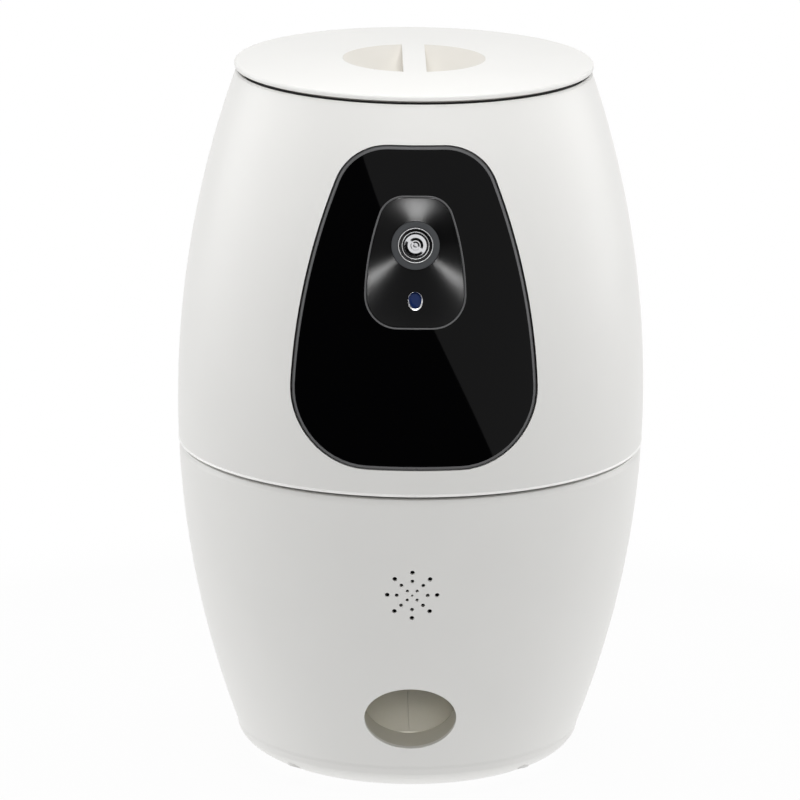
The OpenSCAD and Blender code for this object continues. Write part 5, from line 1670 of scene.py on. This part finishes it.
@dataclass
class RearPanel:
    """The plate in the port recess, with the power inlet, the reset button, the light and two screws."""

    barrel: Barrel
    width: float = 37.8
    height: float = 29.8
    z: float = 39.0
    corner: float = 5.0
    rim: float = 1.6
    inset: float = 0.2
    back: float = 61.1
    face: float = 63.0
    board: float = 52.62
    drill_near: float = 50.0
    drill_far: float = 70.0
    jack: Point = (-8.0, 37.0)
    jack_r: float = 3.05
    jack_wall: float = 1.2
    jack_bore: float = 9.0
    jack_block: Point = (4.5, 5.0)
    pin_r: float = 1.0
    button: Point = (8.0, 38.0)
    button_r: float = 3.15
    button_top: float = 64.0
    button_low: float = 54.4
    stem_r: float = 1.7
    flange_r: float = 3.95
    light: Point = (8.0, 46.0)
    light_r: float = 1.2
    light_top: float = 63.3
    screw_x: float = 15.1
    screw_seat: float = 62.8

    def build(self, shop: Workshop) -> None:
        """Builds the plate and what stands in it.

        Args:
            shop: The workshop that takes the pieces.
        """
        self.build_plate(shop)
        self.build_jack(shop)
        flange_low, flange_top, top = self.face - 3.4, self.face - 2.05, self.button_top
        cap = self.turned(self.button, [(0.0, self.button_low, 0.0), (self.stem_r, self.button_low, 0.2),
                                        (self.stem_r, flange_low, 0.0), (self.flange_r, flange_low, 0.15),
                                        (self.flange_r, flange_top, 0.15), (self.button_r, flange_top, 0.0),
                                        (self.button_r, top, 0.5), (2.3, top, 0.2), (1.7, top - 0.25, 0.4),
                                        (0.0, top - 0.3, 0.0)])
        shop.hand_over(cap, "reset_button_cap", "grey_button", Body.BUTTON, ["reset_button"])
        pipe = self.turned(self.light, [(0.0, self.board, 0.0), (self.light_r, self.board, 0.1),
                                        (self.light_r, self.face, 0.1), (0.85, self.light_top - 0.05, 0.3),
                                        (0.0, self.light_top, 0.0)])
        shop.hand_over(pipe, "status_light_pipe", "light_pipe", Body.CASING, ["status_light"])
        screws = Screw(1.1, 3.5, 2.0, 1.3).at(self.screw_places(self.screw_seat))
        shop.hand_over(screws, "port_plate_fixings", "steel", Body.CASING, ["port_screws"])

    def turned(self, place: Point, corners: Sequence[Corner], steps: int = 48) -> Form:
        """Turns a small part about an axis along the depth."""
        return Form.spun(rounded(corners, 4, closed=False), steps, closed=False).moved(to_back(place))

    def screw_places(self, depth: float) -> list[Matrix]:
        """Places of the two screws at a depth."""
        return [to_back((x, self.z), depth) for x in (-self.screw_x, self.screw_x)]

    def build_plate(self, shop: Workshop) -> None:
        """Lofts the plate with the rim that follows the barrel, and drills it.

        A loop lies at a set depth, or else at a drop below the barrel's skin.

        Args:
            shop: The workshop that takes the piece.
        """
        loops = []
        for grow, drop, fixed in ((0.0, 0.0, self.back), (0.0, 0.4, None), (-0.12, 0.12, None),
                                  (-0.4, 0.0, None), (0.4 - self.rim, 0.0, None),
                                  (0.12 - self.rim, 0.12, None), (-self.rim, 0.4, None),
                                  (-self.rim, 0.0, self.face + 0.3), (-self.rim - 0.3, 0.0, self.face)):
            line = round_box(self.width + 2 * grow, self.height + 2 * grow, self.corner + grow)
            loops.append([Vector((x, fixed or self.barrel.depth(x, z + self.z, self.inset) - drop, z + self.z))
                          for x, z in line])
        near, far = self.drill_near, self.drill_far
        drills = [Form.rod(place, radius, near, far)
                  for place, radius in ((self.jack, self.jack_r + self.jack_wall + 0.1),
                                        (self.button, self.button_r + 0.05), (self.light, self.light_r + 0.05))]
        drills += Form.spread(bored(far, (1.2, near), (2.1, self.screw_seat)), 32, self.screw_places(0.0))
        form = Form.rings(loops).capped().carved(*drills)
        shop.hand_over(form, "port_tray", "white_inner", Body.CASING, ["port_plate"])

    def build_jack(self, shop: Workshop) -> None:
        """Turns the power inlet with its pin, and adds the block behind it.

        Args:
            shop: The workshop that takes the piece.
        """
        outer = self.jack_r + self.jack_wall
        depth, tip = self.face - self.jack_bore, self.face - 1.4
        form = self.turned(self.jack, [(0.0, self.board, 0.0), (outer, self.board, 0.0),
                                       (outer, self.face, 0.25), (self.jack_r + 0.3, self.face, 0.1),
                                       (self.jack_r, self.face - 0.4, 0.1), (self.jack_r, depth, 0.0),
                                       (self.pin_r, depth, 0.0), (self.pin_r, tip, 0.5), (0.0, tip, 0.0)], 64)
        (x, z), (w, h) = self.jack, self.jack_block
        block = Form.block((x - w, self.board, z - h), (x + w, self.face - 3.0, z + h), 0.3)
        bore = Form.rod(self.jack, self.jack_r + 0.6, self.drill_near, self.drill_far)
        form.fused(block.carved(bore))
        piece = shop.hand_over(form, "power_inlet_socket", "black_plastic", Body.CASING, ["power_jack"])
        shop.inlay(piece, "steel",
                   lambda p: math.hypot(p.x - x, p.z - z) < self.pin_r + 0.02 and p.y > depth + 0.1)


@dataclass
class Base:
    """The cover under the casing, with its rubber feet and screws."""

    radius: float = 41.6
    thickness: float = 2.3
    foot_ring: float = 26.0
    foot_r: float = 6.5
    foot_h: float = 2.0
    foot_seat: float = 0.8
    foot_gap: float = 0.1
    bolt_ring: float = 38.5
    bolt_start: float = 45.0
    bolt_seat: float = 1.4

    def build(self, shop: Workshop) -> None:
        """Builds the cover, the feet and the screws.

        Args:
            shop: The workshop that takes the pieces.
        """
        feet = ring_places(self.foot_ring, 0.0)
        bolts = ring_places(self.bolt_ring, self.bolt_start)
        cover = Form.spun(rounded([(0.0, 0.0, 0.0), (self.radius, 0.0, 0.5), (self.radius, self.thickness, 0.2),
                                   (0.0, self.thickness, 0.0)], 4, closed=False), closed=False)
        cover.carved(*Form.spread(bored(self.foot_seat, (self.foot_r + self.foot_gap, -1.0)), 64, feet),
                     *Form.spread(bored(4.0, (2.4, -1.0), (1.2, self.bolt_seat)), 32, bolts))
        shop.hand_over(cover, "base_plate", "white_inner", Body.CASING, ["base_cover"])
        low, top = -self.foot_h, self.foot_seat - 0.05
        profile = rounded([(0.0, low + 0.3, 0.0), (4.4, low + 0.3, 0.2), (4.8, low, 0.2),
                           (self.foot_r - 0.4, low, 0.3), (self.foot_r, low + 0.6, 0.3),
                           (self.foot_r, top, 0.1), (0.0, top, 0.0)], 4, closed=False)
        first, *others = Form.spread(profile, 64, feet)
        shop.hand_over(first.joined(*others), "rubber_foot_pads", "rubber", Body.CASING, ["rubber_feet"])
        under = shift(z=self.bolt_seat) @ Axis.DOWN.value
        screws = Screw(1.1, 4.0, 2.0, 1.3).at([place @ under for place in bolts])
        shop.hand_over(screws, "base_plate_fixings", "steel", Body.CASING, ["base_screws"])


@dataclass(frozen=True)
class Lamp:
    """A soft light: where it hangs and its width and height in metres, and its power in watts.

    A lamp may be kept out of reflections, and may light a few pieces only.
    """

    name: str
    place: tuple[float, float, float]
    size: Point
    power: float
    aim: tuple[float, float, float] = (0.0, 0.0, 0.13)
    mirrored: bool = True
    only: tuple[str, ...] = ()

    def hang(self) -> None:
        """Hangs the lamp and turns it towards its aim."""
        data = bpy.data.lights.new(self.name, "AREA")
        data.shape = "RECTANGLE"
        data.size, data.size_y = self.size
        data.energy = self.power
        lamp = bpy.data.objects.new(self.name, data)
        lamp.location = self.place
        lamp.rotation_euler = (Vector(self.aim) - Vector(self.place)).to_track_quat("-Z", "Y").to_euler()
        lamp.visible_camera = False
        lamp.visible_glossy = self.mirrored
        if self.only:
            lit = bpy.data.collections.new(self.name)
            for name in self.only:
                lit.objects.link(bpy.data.objects[name])
            lamp.light_linking.receiver_collection = lit
        bpy.context.scene.collection.objects.link(lamp)


@dataclass
class Studio:
    """The pale floor, the soft lights and the camera of the photograph."""

    lens: float = 252.38
    sensor: float = 36.0
    eye: tuple[float, float, float] = (0.0, -1985.88, 649.66)
    pitch: float = 14.65
    roll: float = 0.598
    orbit: float = -0.95
    lens_shift: Point = (-0.01304, 0.0045)
    floor_size: float = 6.0
    floor_grey: float = 0.85
    floor_rough: float = 0.9
    floor_glow: float = 0.95
    ambient: float = 0.03
    shade_share: float = 0.3
    shade_near: float = 0.08
    shade_far: float = 0.32
    card_y: float = -0.4
    card: tuple[Point, ...] = ((-0.9, 0.002), (0.321, 0.002), (-0.9, 0.857))
    lamps: tuple[Lamp, ...] = (
        Lamp("left_softbox", (-1.5, -0.15, 0.55), (0.9, 1.1), 3.3),
        Lamp("right_softbox", (1.5, -0.15, 0.55), (0.9, 1.1), 3.3),
        Lamp("back_left_softbox", (-1.2, 0.5, 0.45), (0.7, 0.9), 5.2),
        Lamp("back_right_softbox", (1.2, 0.5, 0.45), (0.7, 0.9), 5.2),
        Lamp("top_softbox", (0.0, 0.2, 1.7), (1.4, 1.4), 16.7),
        Lamp("brow_softbox", (0.0, -0.27, 0.47), (0.3, 0.12), 0.63, mirrored=False),
        Lamp("low_softbox", (0.0, -0.35, 0.01), (0.7, 0.05), 0.09, (0.0, 0.0, 0.06), False),
        Lamp("outlet_fill", (0.0, -0.9, 0.26), (0.4, 0.3), 5.4, (0.0, -0.06, 0.03), False, OUTLET),
        Lamp("pod_glint_low", (0.0016, -0.19, 0.2155), (0.0085, 0.008), 0.02, POD_AT, True, POD),
        Lamp("pod_glint_left", (-0.0685, -0.542, 0.358), (0.016, 0.016), 0.12, POD_AT, True, POD),
        Lamp("pod_glint_right", (0.087, -0.5395, 0.354), (0.016, 0.016), 0.12, POD_AT, True, POD),
    )

    def build(self, lift: float) -> None:
        """Sets the camera, the floor, the world and the lights.

        Args:
            lift: Height of the casing's underside in metres.
        """
        bpy.context.scene.view_settings.view_transform = "Standard"
        self.set_camera(lift)
        self.lay_floor()
        self.light_world()
        self.hang_card()
        for lamp in self.lamps:
            lamp.hang()

    def set_camera(self, lift: float) -> None:
        """Places the camera where the photograph was taken from.

        Args:
            lift: Height of the casing's underside in metres.
        """
        data = bpy.data.cameras.new("camera")
        data.sensor_width = self.sensor
        data.lens = self.lens
        data.shift_x, data.shift_y = self.lens_shift
        camera = bpy.data.objects.new("camera", data)
        x, y, z = (v * MM for v in self.eye)
        stand = spin(self.orbit) @ Matrix.Translation((x, y, z + lift))
        camera.matrix_world = stand @ spin(90.0 - self.pitch, "X") @ spin(self.roll)
        bpy.context.scene.collection.objects.link(camera)
        bpy.context.scene.camera = camera

    def lay_floor(self) -> None:
        """Lays the pale floor, which keeps the shadow."""
        form = Form()
        bmesh.ops.create_grid(form.bm, x_segments=1, y_segments=1, size=self.floor_size / 2.0)
        floor = form.shown("floor")
        material, sheet = NodeSheet.of_material("pale_floor")
        grey = (self.floor_grey, self.floor_grey, self.floor_grey, 1.0)
        shader = sheet.feed("Principled BSDF", {"Base Color": grey, "Roughness": self.floor_rough,
                                                "Specular IOR Level": 0.0})
        glow = sheet.add("Emission", {"Strength": 1.0})
        white = sheet.calc("MULTIPLY", self.seen_rays(sheet), self.open_floor(sheet))
        share = sheet.calc("MAXIMUM", white, self.floor_glow)
        mix = sheet.add("MixShader", {"Fac": share, 1: shader.outputs["BSDF"], 2: glow.outputs["Emission"]})
        sheet.feed("Material Output", {"Surface": mix.outputs["Shader"]})
        floor.data.materials.append(material)

    def open_floor(self, sheet: NodeSheet) -> bpy.types.NodeSocket:
        """Adds a factor that grows from the feeder's shadow to the open floor.

        Args:
            sheet: Nodes of the floor's material.

        Returns:
            The socket with the factor.
        """
        place = sheet.add("TexCoord", {}).outputs["Object"]
        away = sheet.add("VectorMath", {0: place}, operation="LENGTH").outputs["Value"]
        grown = {"Value": away, "From Min": self.shade_near, "From Max": self.shade_far,
                 "To Min": 1.0 - self.shade_share}
        return sheet.add("MapRange", grown, interpolation_type="SMOOTHSTEP").outputs["Result"]

    def hang_card(self) -> None:
        """Hangs a dark card whose edge mirrors in the window, out of the camera's and the lights' way."""
        form = Form()
        form.bm.faces.new([form.bm.verts.new((x, self.card_y, z)) for x, z in self.card])
        card = form.shown("dark_card")
        material, sheet = NodeSheet.of_material("dark_card")
        sheet.feed("Principled BSDF", {"Base Color": BLACK, "Specular IOR Level": 0.0})
        card.data.materials.append(material)
        card.visible_camera = False
        card.visible_diffuse = False
        card.visible_shadow = False
        card.visible_transmission = False

    def seen_rays(self, sheet: NodeSheet) -> bpy.types.NodeSocket:
        """Adds a factor that is 1 for rays that show the background.

        Args:
            sheet: Nodes of the material or world.

        Returns:
            The socket with the factor.
        """
        path = sheet.add("LightPath", {}).outputs
        mirrored = sheet.calc("MAXIMUM", path["Is Glossy Ray"], path["Is Transmission Ray"])
        return sheet.calc("MAXIMUM", path["Is Camera Ray"], mirrored)

    def light_world(self) -> None:
        """Fills the room with even light in front of a white background."""
        world = bpy.data.worlds.new("white_room")
        world.use_nodes = True
        bpy.context.scene.world = world
        sheet = NodeSheet(world.node_tree)
        fill = sheet.feed("Background", {"Color": WHITE, "Strength": self.ambient})
        white = sheet.add("Background", {"Color": WHITE, "Strength": 1.0})
        mix = sheet.add("MixShader", {"Fac": self.seen_rays(sheet), 1: fill.outputs["Background"],
                                      2: white.outputs["Background"]})
        sheet.feed("World Output", {"Surface": mix.outputs["Shader"]})


def main() -> None:
    """Loads the frame, builds each sub-assembly and dresses what still shows."""
    logging.basicConfig(level=logging.INFO, format="%(message)s")
    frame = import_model()
    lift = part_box("lower_shell")[0].z
    shop = Workshop(frame, lift)
    barrel, mouth = Barrel(), Mouth()
    window = Shield(241.6, 128.2, 9.5, 20.0, 16.6, 27.0, 230.0)
    pod = Shield(224.7, 178.7, 4.0, 9.5, 6.4, 11.5, 90.0)
    for assembly in (UpperShell(barrel, window), LowerShell(barrel, mouth), Lid(),
                     FrontWindow(barrel, window, pod), CameraPod(barrel, pod), Outlet(barrel, mouth), Hopper(),
                     RearPanel(barrel), Base()):
        assembly.build(shop)
    shop.dress_nodes()
    Studio().build(lift)


if __name__ == "__main__":
    main()
